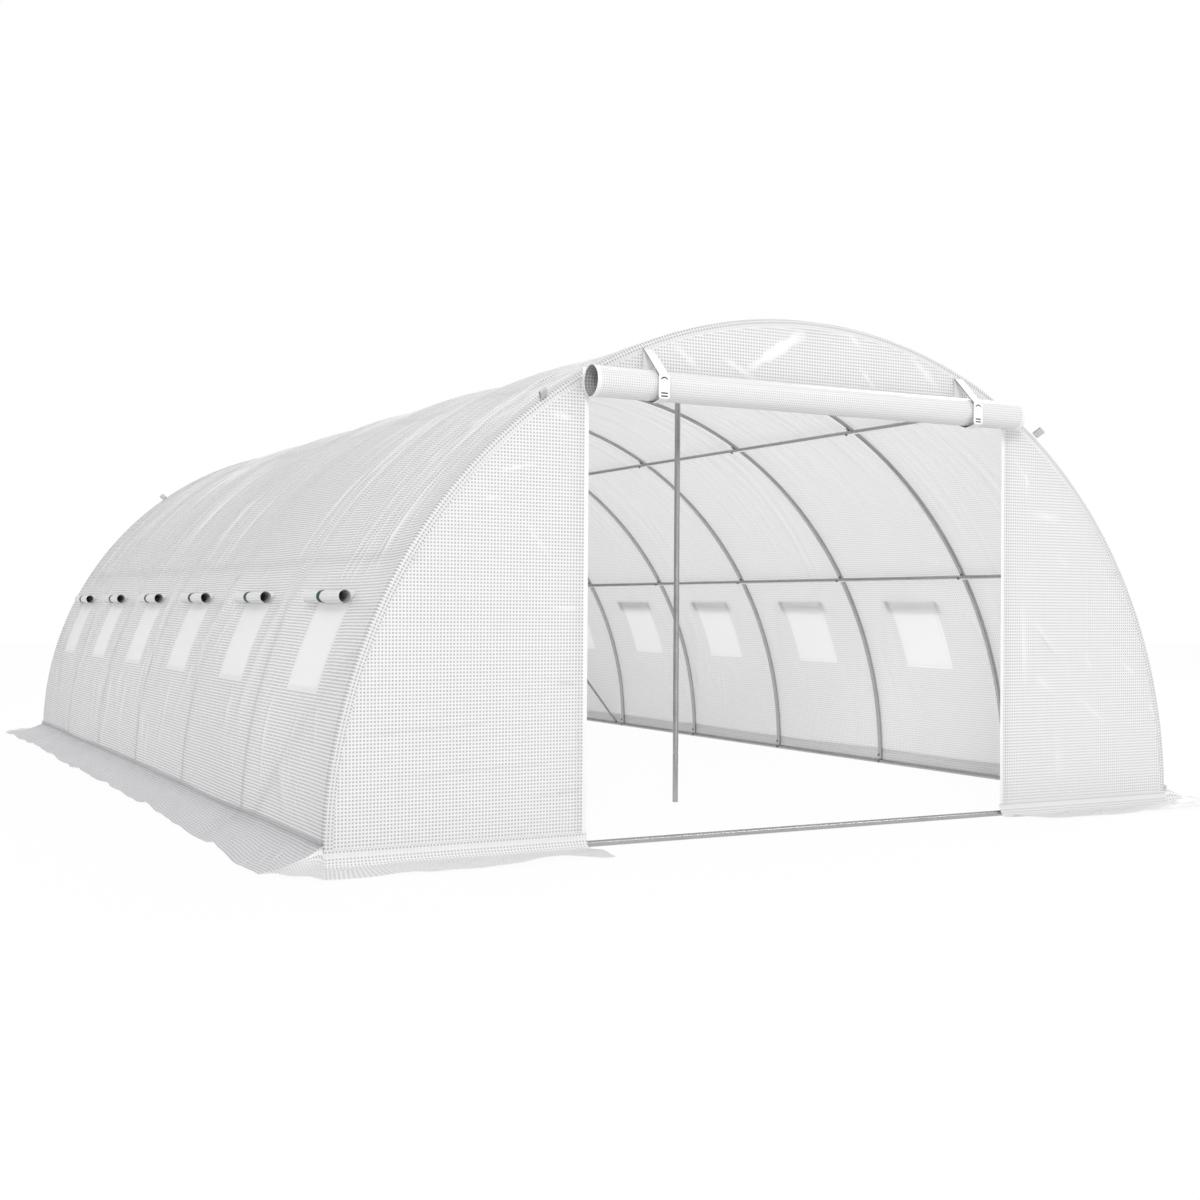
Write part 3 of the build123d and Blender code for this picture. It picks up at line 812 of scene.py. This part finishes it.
# rolled sheets: a spiral from the sewn edge, behind the roll, under it and round
def rolledSheet(name, look, centre, along, towardWall, up):
    centre, along, towardWall, up = (np.array(v, float) for v in (centre, along, towardWall, up))
    perTurn, tailPoints, lip, drawnIn = 40, 5, 0.4, 0.2
    rows = []  # place toward the wall, height, angle turned and length of sheet so far
    for share in np.arange(tailPoints) / tailPoints:
        rows.append((look["outer"] + 0.001 * (1 - share), look["tail"] * (1 - share), 0.0, look["tail"] * share))
    arc, angle = look["tail"], 0.0
    while arc < look["flat"]:
        r = look["outer"] - look["pitch"] * angle / (2 * pi)
        rows.append((r * cos(angle), -r * sin(angle), angle, arc))
        angle += 2 * pi / perTurn
        arc += r * 2 * pi / perTurn
    a, b, turn, lengths = (column[:, None] for column in np.array(rows).T)
    half, seed = look["length"] / 2, look["seed"]
    places = steps([-half, -half + look["hem"], half - look["hem"], half], look["spacing"])[None, :]
    wobble = 1 + look["wobble"] * (softNoise(places * 2.6 + 9, 2 + 1.3 * np.cos(turn), seed)
                                   + softNoise(places * 5.1 + 3, 2 + 1.7 * np.sin(turn), seed + 1) - 1)
    wobble = wobble + look["lines"] * ridge(softNoise(turn * 3.4 + 30, places * 0.35 + 10, seed + 2), 3.0)
    wobble = wobble - look["pinch"] * bell((places - look["pinchPlace"]) / look["pinchWidth"])
    wobble = np.where(turn > 0, wobble, 1.0)
    wander = look["wander"] * turn / (2 * pi)  # the ends of the inner turns draw in
    shift = wander * np.where(places > 0, 1.0, -1.0) * smooth(np.abs(places), half - drawnIn, half)
    points = (centre + (a * wobble)[..., None] * towardWall + (b * wobble)[..., None] * up
              + (places - shift)[..., None] * along)
    finish = np.zeros((len(rows) - 1, places.size - 1), int)
    finish[:, np.abs(middles(places[0])) > half - look["hem"]] = 1
    # painted shade: the innermost turn gets the dark inside material, standing in for the shade within the roll
    finish[turn[:-1, 0] > angle - 2 * pi - lip, :] = 2
    return gridPiece(name, points, stacked(places + 5, lengths), [look["sheet"], hemTape, look["inside"]],
                     finish=finish)


doorRoll = {"length": 3.08, "outer": 0.0874, "pitch": 0.0016, "flat": 2.56, "tail": 0.085, "hem": 0.028,
            "spacing": 0.05, "wobble": 0.012, "lines": 0.014, "wander": 0.0016, "seed": 41, "pinch": 0,
            "pinchPlace": 0, "pinchWidth": 0.045, "sheet": doorSheet, "inside": doorRollShade,
            "gap": 0.0006, "strap": 0.003, "cadRadius": 0.0875, "height": 2.565}
rollY = -(halfLength + doorRoll["gap"] + doorRoll["strap"] + doorRoll["cadRadius"])
rollZ = doorRoll["height"]
frontDoorRoll = rolledSheet("frontDoorRoll", doorRoll, (0, rollY, rollZ), xAxis, yAxis, zAxis)
finishPiece(frontDoorRoll, "cover_sheet", "front_door_roll")

flapRoll = {"length": 0.66, "outer": 0.0372, "pitch": 0.0022, "flat": 0.6, "tail": 0.05, "hem": 0.012, "spacing": 0.04,
            "wobble": 0.03, "lines": 0.01, "wander": 0.003, "seed": 51, "pinch": 0.13, "pinchPlace": 0.04,
            "pinchWidth": 0.045, "sheet": rollSheet, "inside": flapRollShade,
            "gap": 0.0003, "cadRadius": 0.0375, "above": 0.018, "shift": 0.02}  # above the window, and along
flapAngle = asin((windows["top"] + flapRoll["above"] - spring) / arcRadius)
flapReach = arcRadius + flapRoll["gap"] + flapRoll["cadRadius"]
tie = {"radius": 0.0348, "width": 0.052, "thickness": 0.0016, "points": 28}


def ribbonPiece(name, path, across, width, thickness, material, closed=False, edge=None):
    # a flat band along a path, its width in one direction; its edges may be of another material
    path, across = np.array(path, float), np.array(across, float)
    if closed:
        path = np.concatenate([path, path[:1]])
    places = np.array([-0.5, -0.46, 0, 0.46, 0.5]) * width
    points = path[:, None, :] + places[None, :, None] * across
    flatPlaces = stacked(places[None, :] + 1, runAlong(path)[:, None])
    piece = gridPiece(name, points, flatPlaces, [material, edge or material])
    applyModifier(piece, "SOLIDIFY", thickness=thickness, offset=0.0, material_offset_rim=1)
    if closed:
        selectOnly(piece)
        editMode()
        selectAll()
        bpy.ops.mesh.remove_doubles(threshold=0.0002)  # its first and last points are one
        editMode(False)
    return piece


for sideName, side in sides:
    outward = np.array([side * cos(flapAngle), 0, sin(flapAngle)])
    upward = np.array([-side * sin(flapAngle), 0, cos(flapAngle)])
    centre = np.array([0, 0, spring]) + outward * flapReach
    ties = []
    for i, y in enumerate(bayCentres):
        place = centre + np.array([0, y + flapRoll["shift"], 0])
        look = {**flapRoll, "seed": flapRoll["seed"] + 7 * i + side}
        flap = rolledSheet(f"{sideName}WindowRoll{i + 1}", look, place, yAxis, -outward, upward)
        finishPiece(flap, "cover_sheet", f"{sideName}_window_rolls")
        # green tie that pulls the roll in
        tieCentre = place + np.array([0, flapRoll["pinchPlace"], 0])
        loop = [tieCentre + tie["radius"] * (cos(a) * outward + sin(a) * upward)
                for a in np.linspace(0, 2 * pi, tie["points"], endpoint=False)]
        ties.append(ribbonPiece("tie", loop, yAxis, tie["width"], tie["thickness"], tieWeb, closed=True))
    finishPiece(joinPieces(ties, sideName + "WindowTies"), "loop_webbing")
print("rolls done")

# straps round the door roll and up to the header, flat behind the buckles and slack under the roll
strap = {"places": (-1.13, 1.13), "width": 0.064, "thickness": 0.0045, "rise": 0.215, "radius": 0.0883, "fold": 0.0035,
         "front": -4.7809, "low": 2.482, "high": 2.612, "header": -4.6063, "slack": (-4.712, 2.4695), "points": 130}
# a near black sheet behind each buckle, painted shadow seen through its slots
pad = {"width": 0.056, "thickness": 0.0002, "out": 0.00615, "inset": 0.004, "points": 12}
strapFolds = [(strap["header"], rollZ + strap["rise"]), (strap["front"], strap["low"]),
              (strap["front"], strap["high"]), strap["slack"]]
# y, z and radius of what the band goes round
strapRounds = [(rollY, rollZ, strap["radius"])] + [(y, z, strap["fold"]) for y, z in strapFolds]
strapLoop = []
for a in np.linspace(0, 2 * pi, 240):
    heading = np.array([cos(a), sin(a)])
    y, z, r = max(strapRounds, key=lambda item: item[0] * heading[0] + item[1] * heading[1] + item[2])
    strapLoop.append((0, y + r * heading[0], z + r * heading[1]))
strapLoop = resample(strapLoop, strap["points"])
slotShadeZs = np.linspace(strap["low"] + pad["inset"], strap["high"] - pad["inset"], pad["points"])
for i, x in enumerate(strap["places"]):
    slotShadePath = [(x, strap["front"] - pad["out"], z) for z in slotShadeZs]
    buckleSlotShade = ribbonPiece(f"buckleSlotShade{i + 1}", slotShadePath, xAxis, pad["width"], pad["thickness"], slotShadeWeb)
    finishPiece(buckleSlotShade, "strap_webbing")
    band = ribbonPiece(f"doorStrap{i + 1}", strapLoop[:-1] + np.array([x, 0, 0]), xAxis, strap["width"],
                       strap["thickness"], strapWeb, closed=True, edge=strapEdgeShade)
    finishPiece(band, "strap_webbing", "front_door_straps")
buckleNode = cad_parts["front_door_buckles"]
buckleNode.data.materials.clear()
buckleNode.data.materials.append(bucklePlastic)

# rope loops, folded webbing sewn under the hem
loops = {"length": 0.065, "depth": 0.018, "width": 0.045, "thickness": 0.0026, "doorOffset": 1.78, "gap": 0.0003}
loopAngle = asin(loops["doorOffset"] / arcRadius)
loopBend = loops["depth"] / 2 - loops["thickness"] / 2
loopStraight = loops["length"] / 2 - loops["depth"] / 2
loopParts = []
for end, side in corners:
    outward = np.array([side * sin(loopAngle), 0, cos(loopAngle)])
    across = np.array([cos(loopAngle), 0, -side * sin(loopAngle)])
    pointing = (outward + np.array([0, end, 0])) / sqrt(2)
    sideways = np.cross(across, pointing)
    middle = np.array([0, end * halfLength, spring]) + outward * arcRadius
    middle = middle + pointing * (loops["gap"] + loops["length"] / 2)
    bend = [pointing * (loopStraight + loopBend * cos(a)) + sideways * loopBend * sin(a)
            for a in np.linspace(-pi / 2, pi / 2, 11)]
    loop = [middle + point for point in bend] + [middle - point for point in bend]
    loopParts.append(ribbonPiece("loop", loop, across, loops["width"], loops["thickness"], loopWeb, closed=True))
finishPiece(joinPieces(loopParts, "ropeLoops"), "loop_webbing", "rope_loops")
print("straps and loops done")

# end walls, one sheet round the doorway, turned back over the end hoop
wall = {"spacing": 0.012, "hem": 0.026, "uneven": 0.006, "crumple": 0.003, "crease": 0.006,
        "packing": 0.0012, "packingWidth": 0.02, "packingX": (0.79, -0.1), "packingZ": (0.83, 0.95),
        "archHold": (0.02, 0.16), "doorHold": (0.0, 0.2), "sillHold": (0.06, 0.25)}  # where it is held tight
# creases, painted as highlights where they stand out and as shade where they go in (a height below nought): from x, z
# to x, z, width, height
frontCreases = [
    (-0.435, 2.731, -0.083, 2.951, 0.03, 0.008), (-0.62, 2.769, -0.424, 2.674, 0.016, 0.005),
    (0.271, 3.0, 0.348, 2.925, 0.012, 0.005), (0.361, 2.788, 0.471, 2.667, 0.014, 0.005),
    (0.75, 2.9, 0.95, 2.72, 0.02, 0.004), (-0.95, 2.82, -0.8, 2.7, 0.02, 0.004),
    (-2.02, 2.06, -1.83, 2.1, 0.008, 0.005), (-1.72, 2.38, -1.6, 2.36, 0.01, 0.005),
    (-2.14, 1.9, -2.03, 1.91, 0.009, 0.003), (-1.89, 1.79, -1.74, 1.6, 0.009, 0.0025),
    (-1.72, 1.32, -1.54, 1.32, 0.009, 0.004), (-1.68, 0.92, -1.56, 0.9, 0.009, -0.003),
    (-2.81, 0.66, -2.13, 0.7, 0.01, -0.0016), (-2.6, 0.43, -1.76, 0.48, 0.01, -0.0012),
    (-1.8, 0.3, -1.55, 0.32, 0.009, -0.0022), (1.79, 1.26, 1.98, 1.05, 0.01, 0.004),
    (1.81, 1.2, 1.99, 1.0, 0.009, -0.003), (2.17, 0.76, 2.41, 0.59, 0.01, 0.004),
    (2.57, 0.99, 2.68, 0.9, 0.01, 0.004), (2.01, 1.68, 2.08, 1.61, 0.01, 0.004),
    (2.84, 0.69, 2.9, 0.59, 0.009, 0.004), (1.99, 0.5, 2.01, 0.23, 0.014, 0.003),
    (1.71, 2.25, 1.72, 2.08, 0.01, 0.004), (2.25, 1.03, 2.29, 0.94, 0.01, 0.004),
    (1.79, 1.95, 1.98, 1.93, 0.025, 0.003), (1.69, 1.37, 1.71, 0.88, 0.014, 0.003),
    (1.81, 0.9, 1.94, 0.8, 0.01, 0.004), (1.62, 2.3, 1.75, 2.12, 0.01, 0.004),
]
rearCreases = [
    (-0.6, 2.7, -0.2, 2.9, 0.03, 0.006), (0.4, 2.9, 0.7, 2.7, 0.02, 0.005), (-2.3, 1.4, -1.8, 1.2, 0.03, 0.005),
    (1.7, 2.0, 2.1, 1.6, 0.02, 0.005), (1.8, 0.7, 2.4, 0.8, 0.03, 0.004), (-2.1, 0.5, -1.7, 0.7, 0.02, 0.004),
]


def creaseLift(x, z, creases):
    # how far all the creases together stand out
    lift = 0
    for x0, z0, x1, z1, width, height in creases:
        run = np.array([x1 - x0, z1 - z0])
        share = np.clip(((x - x0) * run[0] + (z - z0) * run[1]) / (run @ run), 0, 1)
        off = np.hypot(x - x0 - share * run[0], z - z0 - share * run[1])
        width = width * (0.45 + 1.1 * softNoise(share * 7 + 10 * x0, 10 * z0 + 40, 27))  # uneven along its run
        lift = lift + height * bell(off / width, 4) * (0.35 + 0.65 * np.sin(pi * share))
    return lift


def wallStandOff(x, z, creases, seed):
    out = wall["uneven"] * softNoise(x * 1.1 + 7, z * 1.3, seed)
    crumpled = smooth(softNoise(x * 0.9 + 9, z * 0.9, seed + 2), 0.3, 0.7)
    out = out + wall["crumple"] * softNoise(x * 4.5 + 20, z * 4.5, seed + 1) * crumpled
    slant = softNoise((x + 0.6 * z) * 2.2 + 20, (z - 0.6 * x) * 0.8 + 20, seed + 3)
    out = out + wall["crumple"] * ridge(slant, 4.0) + creases
    for place, (spacing, first) in ((z, wall["packingZ"]), (x, wall["packingX"])):  # lines from its packing
        lines = (place - first) / spacing
        out = out + wall["packing"] * bell((lines - np.round(lines)) * spacing / wall["packingWidth"], 1)
    besideDoor = np.abs(x) - doorHalf
    aboveDoor = np.hypot(np.maximum(0, besideDoor), z - doorHeight)
    doorGap = np.where(z < doorHeight, np.abs(besideDoor), aboveDoor)
    hold = smooth(sheetRadius - np.hypot(x, z - spring), *wall["archHold"]) * smooth(z, *wall["sillHold"])
    return out * hold * (0.25 + 0.75 * smooth(doorGap, *wall["doorHold"]))


def endWall(endName, end, creases, seed):
    hemX, hemZ = doorHalf + wall["hem"], doorHeight + wall["hem"]
    xs = steps([-arcRadius, -hemX, -doorHalf, doorHalf, hemX, arcRadius], wall["spacing"])
    zs = steps([spring, doorHeight, hemZ, spring + arcRadius], wall["spacing"])
    x, z = np.meshgrid(xs, zs, indexing="ij")
    midX, midZ = np.meshgrid(middles(xs), middles(zs), indexing="ij")
    rim = sheetRadius - cover["turn"] * (1 - cos(radians(45)))
    inArc = np.hypot(midX, midZ - spring) < rim - 0.004
    kept = inArc & ~((np.abs(midX) < doorHalf) & (midZ < doorHeight))
    # points between kept and left-out squares are moved onto the arch
    halves = (slice(0, -1), slice(1, None))
    squares = [np.pad(inArc, 1)[i, j] for i in halves for j in halves]
    radius = np.hypot(x, z - spring)
    onRim = np.any(squares, axis=0) & ~np.all(squares, axis=0) & (radius > rim - 0.1)
    scale = np.where(onRim, rim / np.maximum(radius, 0.1), 1.0)
    x = x * scale
    z = np.where(onRim & (z > spring + 0.001), spring + (z - spring) * scale, z)
    lift = creaseLift(x, z, creases)
    over = np.clip(np.hypot(x, z - spring) - turnRadius, 0, cover["turn"])
    y = end * (sheetEnd + wallStandOff(x, z, lift, seed) - turnedIn(over))
    hemmed = (np.abs(midX) < hemX) & (midZ < hemZ)
    # painted highlight and shade along the creases
    piece = gridPiece(endName + "Wall", stacked(x, y, z), stacked(x + 5, z), [wallSheet, hemTape], keep=kept,
                      finish=hemmed, paintedLight=lift / wall["crease"])
    finishPiece(piece, "cover_sheet", *(f"{endName}_{part}_panel" for part in ("left", "right", "header")))


endWall("front", -1, frontCreases, 61)
endWall("rear", 1, rearCreases, 71)
print("end walls done")

# rear door, let down, with taped edges
rearDoor = {"half": 1.515, "bottom": 0.005, "top": 2.53, "tape": 0.03, "bottomTape": 0.05, "spacing": 0.014,
            "out": 0.004, "overFrame": 0.0035, "frameEdge": (1.4, 1.5), "drape": 0.012, "uneven": 0.006, "hang": 0.3}
doorFolds = [
    (-1.1, 2.4, -0.95, 1.2, 0.02, 0.004), (-0.35, 2.3, -0.42, 0.9, 0.02, 0.006), (0.28, 1.9, 0.2, 0.6, 0.016, 0.005),
    (0.85, 2.42, 0.98, 1.5, 0.018, 0.005), (-0.8, 0.9, -0.55, 0.3, 0.025, 0.004), (0.6, 0.8, 1.1, 0.35, 0.02, 0.004),
]
tapeX, tapeLow = rearDoor["half"] - rearDoor["tape"], rearDoor["bottom"] + rearDoor["bottomTape"]
tapeHigh = rearDoor["top"] - rearDoor["tape"]
doorXs = steps([-rearDoor["half"], -tapeX, tapeX, rearDoor["half"]], rearDoor["spacing"])
doorZs = steps([rearDoor["bottom"], tapeLow, tapeHigh, rearDoor["top"]], rearDoor["spacing"])
x, z = np.meshgrid(doorXs, doorZs, indexing="ij")
hang = smooth(rearDoor["half"] - np.abs(x), 0, rearDoor["hang"]) * smooth(rearDoor["top"] - z, 0, rearDoor["hang"])
doorOut = rearDoor["out"] + rearDoor["overFrame"] * smooth(np.abs(x), *rearDoor["frameEdge"])
doorOut = doorOut + rearDoor["drape"] * hang * ridge(softNoise(x * 2.4 + 9, z * 0.5, 81), 2.0)
doorOut = doorOut + rearDoor["uneven"] * hang * softNoise(x * 3 + 9, z * 2, 82)
lift = creaseLift(x, z, doorFolds)
midX, midZ = middles(doorXs)[:, None], middles(doorZs)[None, :]
taped = (np.abs(midX) > tapeX) | (midZ < tapeLow) | (midZ > tapeHigh)
# painted highlight along the door's folds
rearFlap = gridPiece("rearDoorFlap", stacked(x, halfLength + doorOut + lift, z), stacked(x + 5, z),
                     [wallSheet, hemTape], finish=taped, paintedLight=lift / wall["crease"])
finishPiece(rearFlap, "cover_sheet", "rear_door_flap")

# ground skirts, turned out over the ground with a wavy free edge
skirt = {"seam": 0.105, "seamShift": 0.012, "wave": 0.032, "edge": 0.04, "ripple": 0.017, "spacing": 0.02,
         "cornerRadius": 0.15, "bend": 0.06, "fold": 0.058, "foldWidth": 0.009, "ground": 0.0015,
         "flareRun": 0.35, "swingRun": 1.2, "sideEnd": 4.598, "endStop": 2.994}
sideProfile = [(0.0015, 0.132), (0.0075, 0.127), (0.0098, 0.119), (0.0075, 0.111), (0.003, 0.105)]  # welt at the foot
endProfile = [(0.0015, 0.088), (0.0018, 0.076), (0.002, 0.068)]


def skirtProfile(look):
    # distance out from the wall and height, down the wall, round and out over the ground
    reach, ground = look["reach"], skirt["ground"]
    if look["welt"]:
        return np.array(sideProfile + [(sideProfile[-1][0] + reach * q, ground + skirt["seam"] * (1 - q) ** 2.1)
                                       for q in np.linspace(0, 1, 17)[1:]])
    bend, start = skirt["bend"], endProfile[-1][0]
    turned = start + bend
    profile = endProfile + [(start + bend * (1 - cos(a)), ground + bend * (1 - sin(a)))
                            for a in np.linspace(0, pi / 2, 9)]
    return np.array(profile + [(turned + (reach - turned) * q, ground) for q in np.linspace(0, 1, 13)[1:]])


def skirtPiece(name, run, along, outward, origin, look, seed, node):
    # the outer corners swing out by the flares
    along, outward, origin = (np.array(v, float) for v in (along, outward, origin))
    profile = skirtProfile(look)
    down = runAlong(profile)
    s, p = np.meshgrid(down, steps(list(run), skirt["spacing"]), indexing="ij")
    out, z = (column[:, None] + 0 * p for column in profile.T)
    share = np.clip(out / look["reach"], 0, 1)
    edgeWave = softNoise(p * 1.3 + 20, 0, seed) + 0.7 * softNoise(p * 4.2 + 20, 0, seed + 1) - 0.85
    reach = 1 + skirt["edge"] / look["reach"] * edgeWave * share
    if not look["welt"]:  # rounded corner beside the doorway
        toCorner = np.maximum(0, skirt["cornerRadius"] - np.abs(p - look["door"]))
        cut = skirt["cornerRadius"] - np.sqrt(np.maximum(0, skirt["cornerRadius"] ** 2 - toCorner ** 2))
        reach = reach - cut * look["rounding"] / look["reach"] * share
    waves = softNoise(p * 2.1 + 20, 0.3, seed + 2) ** 2 + 0.4 * softNoise(p * 5.2 + 20 + share, 0, seed + 3) ** 2
    ripples = ridge(softNoise((p + 0.9 * out) * 3.6 + 20, out * 2.5, seed + 4), 1.6)
    ripples = ripples + 0.45 * ridge(softNoise((p + 1.5 * out) * 8.0 + 20, out * 3 + 10, seed + 6), 2.0)
    lift = skirt["wave"] * waves * share ** 2
    lift = lift + skirt["ripple"] * ripples * np.sin(pi * np.clip(share * 0.9, 0, 1))
    if look["welt"]:
        foldHighlight = 0 * z
        lift = lift + skirt["seamShift"] * (softNoise(p * 0.8 + 20, 0, seed + 5) - 0.5) * (1 - share)
    else:
        foldHighlight = bell((z - skirt["fold"]) / skirt["foldWidth"])  # painted highlight along the fold to the ground
    flare, swing = (look["low" + part] * smooth(run[0] + length - p, 0, length)
                    + look["high" + part] * smooth(p - run[1] + length, 0, length)
                    for part, length in (("Flare", skirt["flareRun"]), ("Reach", skirt["swingRun"])))
    points = (origin + (p + flare * share)[..., None] * along + (out * reach + swing * share)[..., None] * outward
              + (z + lift)[..., None] * np.array(zAxis))
    piece = gridPiece(name, points, stacked(p + 20, s), [skirtSheet if look["welt"] else endSkirtSheet], paintedLight=foldHighlight)
    finishPiece(piece, "cover_sheet", node)
    return points[len(sideProfile) - 1:] if look["welt"] else points[len(endProfile):]  # without the part on the wall


sideSkirt = {"welt": True, "reach": 0.305, "lowFlare": -0.14, "highFlare": 0.1, "lowReach": 0.08, "highReach": 0.05}
endSkirts = {
    "frontLeft": {"reach": 0.385, "rounding": 0.3}, "frontRight": {"reach": 0.3, "rounding": 1.0},
    "rearLeft": {"reach": 0.31, "rounding": 0.8}, "rearRight": {"reach": 0.33, "rounding": 0.8},
}
endFlare = 0.12
gussets = {"rows": 14, "columns": 12, "lift": 0.012, "ripple": 0.6, "areaShare": 0.98}
skirtEnds = {}
for sideName, side in sides:
    points = skirtPiece(sideName + "Skirt", (-skirt["sideEnd"], skirt["sideEnd"]), yAxis, (side, 0, 0),
                        (side * arcRadius, 0, 0), sideSkirt, 91 + side, f"{sideName}_ground_skirt")
    skirtEnds["front" + sideName.title()], skirtEnds["rear" + sideName.title()] = points[:, 0], points[:, -1]
for i, (name, look) in enumerate(endSkirts.items()):
    endName, end = ends[0 if "front" in name else 1]
    side = -1 if "Left" in name else 1
    look = {**look, "welt": False, "door": side * doorHalf, "lowReach": 0, "highReach": 0,
            "lowFlare": -endFlare if side < 0 else 0, "highFlare": endFlare if side > 0 else 0}
    run = sorted((side * doorHalf, side * skirt["endStop"]))
    points = skirtPiece(name + "Skirt", run, xAxis, (0, end, 0), (0, end * halfLength, 0), look, 101 + 3 * i,
                        endName + "_ground_skirts")
    # gusset that closes the corner, from the end of one skirt to the end of the other
    first, second = (resample(edge, gussets["rows"]) for edge in (skirtEnds[name], points[:, 0 if side < 0 else -1]))
    u, share = np.linspace(0, 1, gussets["columns"])[None, :], np.linspace(0, 1, gussets["rows"])[:, None]
    gusset = first[:, None, :] * (1 - u[..., None]) + second[:, None, :] * u[..., None]
    ripple = 1 + gussets["ripple"] * np.sin(3 * pi * u)
    gusset[..., 2] += gussets["lift"] * share * np.sin(pi * u) * ripple
    lengths = [runAlong(edge)[-1] for edge in (first, second)]
    top, across = np.linalg.norm(first[0] - second[0]), np.linalg.norm(first[-1] - second[-1])
    flatPlaces = stacked(u * across * share + 20, share * max(lengths))
    corner = gridPiece(name + "Gusset", gusset, flatPlaces, [endSkirtSheet])
    finishPiece(corner, "cover_sheet")
print("skirts done")

# hem along the edge of the arch, turned over the end hoop, with a painted highlight line near its inner edge over the
# upper arch
hem = {"width": 0.033, "wrap": 0.026, "lift": 0.0013, "rim": 0.0007, "weld": 0.0047, "edgeHighlightWidth": 0.008,
       "feather": 0.004, "rimAngle": 0.9, "rimSpread": 0.25, "steps": 161, "upperArch": (0.55, 0.8)}
hemProfile = []  # radius, and distance in from the end
for place in np.linspace(hem["width"], 0, 8):
    feather = smooth(hem["width"] - place, 0, hem["feather"])
    hemProfile.append((turnRadius - place, -hem["lift"] * (0.1 + 0.9 * feather)))
for a in np.linspace(0, pi / 2, 11)[1:]:
    r = cover["turn"] + hem["lift"] + hem["rim"] * bell((a - hem["rimAngle"]) / hem["rimSpread"])
    hemProfile.append((turnRadius + r * sin(a), cover["turn"] - r * cos(a)))
for place in np.linspace(0, hem["wrap"], 5)[1:]:
    hemProfile.append((sheetRadius + hem["lift"] * (1 - place / hem["wrap"]), cover["turn"] + place))
run = runAlong(np.array(hemProfile))[None, :]
r, inset = (column[None, :] for column in np.array(hemProfile).T)
a = np.linspace(0, pi, hem["steps"])[:, None]
# painted highlight near the hem's inner edge, only over the upper arch
weld = bell((run - hem["weld"]) / hem["edgeHighlightWidth"]) * smooth(np.sin(a), *hem["upperArch"])
onFace = np.where(inset < 0, run, 2.5 * sheetLook["pitch"])  # no thread runs along the rim
for endName, end in ends:
    points = stacked(-r * np.cos(a), end * (sheetEnd - inset), spring + r * np.sin(a))
    archHem = gridPiece(endName + "ArchHem", points, stacked(a * arcRadius, onFace), [wallSheet], paintedLight=weld)
    finishPiece(archHem, "cover_sheet")
print("hems done")

# floor, light and camera
studio = {"floorSize": 90, "floorDrop": 0.0005, "floorWhite": 0.96, "floorShade": 0.85, "worldLight": 0.77}
lamps = {  # place, power, width and height of each soft light
    "key": ((-13, -26, 14), 3050, 7, 7), "fill": ((14, 3, 16), 1950, 9, 9), "glint": ((11.7, -16.5, 13.7), 190, 7, 1.2),
}
aim = Vector((0, 0, 1))
selectOnly()
bpy.ops.mesh.primitive_plane_add(size=studio["floorSize"], location=(0, 0, -studio["floorDrop"]))
floor = newest("studioFloor")


def seenDirectly(tree):
    # camera, glossy and transmission rays see the white backdrop itself
    path = addNode(tree, "LightPath").outputs
    both = calc(tree, "MAXIMUM", path["Is Camera Ray"], path["Is Glossy Ray"])
    return calc(tree, "MAXIMUM", both, path["Is Transmission Ray"])


floorWhite = bpy.data.materials.new("floorWhite")
tree = emptyTree(floorWhite)
matte = setNode(tree, "BsdfDiffuse", {"Color": grey(studio["floorShade"])}).outputs[0]
glow = addNode(tree, "Emission").outputs[0]
glowShare = calc(tree, "MULTIPLY", seenDirectly(tree), studio["floorWhite"])
both = setNode(tree, "MixShader", {0: glowShare, 1: matte, 2: glow})
tree.links.new(both.outputs[0], addNode(tree, "OutputMaterial").inputs[0])
floor.data.materials.append(floorWhite)

world = bpy.data.worlds.new("studioWorld")
bpy.context.scene.world = world
tree = emptyTree(world)
strength = slope(tree, seenDirectly(tree), 0.0, 1.0, studio["worldLight"], 1.0)
backdrop = setNode(tree, "Background", {"Color": grey(1.0), "Strength": strength})
tree.links.new(backdrop.outputs[0], addNode(tree, "OutputWorld").inputs[0])

for name, (place, power, wide, high) in lamps.items():
    bpy.ops.object.light_add(type="AREA", location=place)
    lamp = bpy.context.active_object
    lamp.name = name + "Light"
    lamp.data.energy = power
    lamp.data.shape = "RECTANGLE"
    lamp.data.size, lamp.data.size_y = wide, high
    lamp.rotation_euler = (aim - lamp.location).to_track_quat("-Z", "Y").to_euler()

shot = {"focal": 1542.93, "yaw": 28.157, "pitch": 0.304, "roll": 0.3695, "place": (-5.4517, -12.1269, 1.323),
        "frame": 1200, "sensor": 36, "farthest": 200}
yaw, pitch, roll = (radians(shot[key]) for key in ("yaw", "pitch", "roll"))
forward = Vector((sin(yaw) * cos(pitch), cos(yaw) * cos(pitch), sin(pitch)))
level = Vector((cos(yaw), -sin(yaw), 0))
upright = level.cross(forward)
right = cos(roll) * level + sin(roll) * upright
up = -sin(roll) * level + cos(roll) * upright
cameraData = bpy.data.cameras.new("shot")
camera = bpy.data.objects.new("shot", cameraData)
bpy.context.scene.collection.objects.link(camera)
camera.matrix_world = Matrix.Translation(shot["place"]) @ Matrix((right, up, -forward)).transposed().to_4x4()
cameraData.sensor_width = shot["sensor"]
cameraData.lens = shot["sensor"] * shot["focal"] / shot["frame"]
cameraData.clip_end = shot["farthest"]
bpy.context.scene.camera = camera
bpy.context.scene.view_settings.view_transform = "Standard"
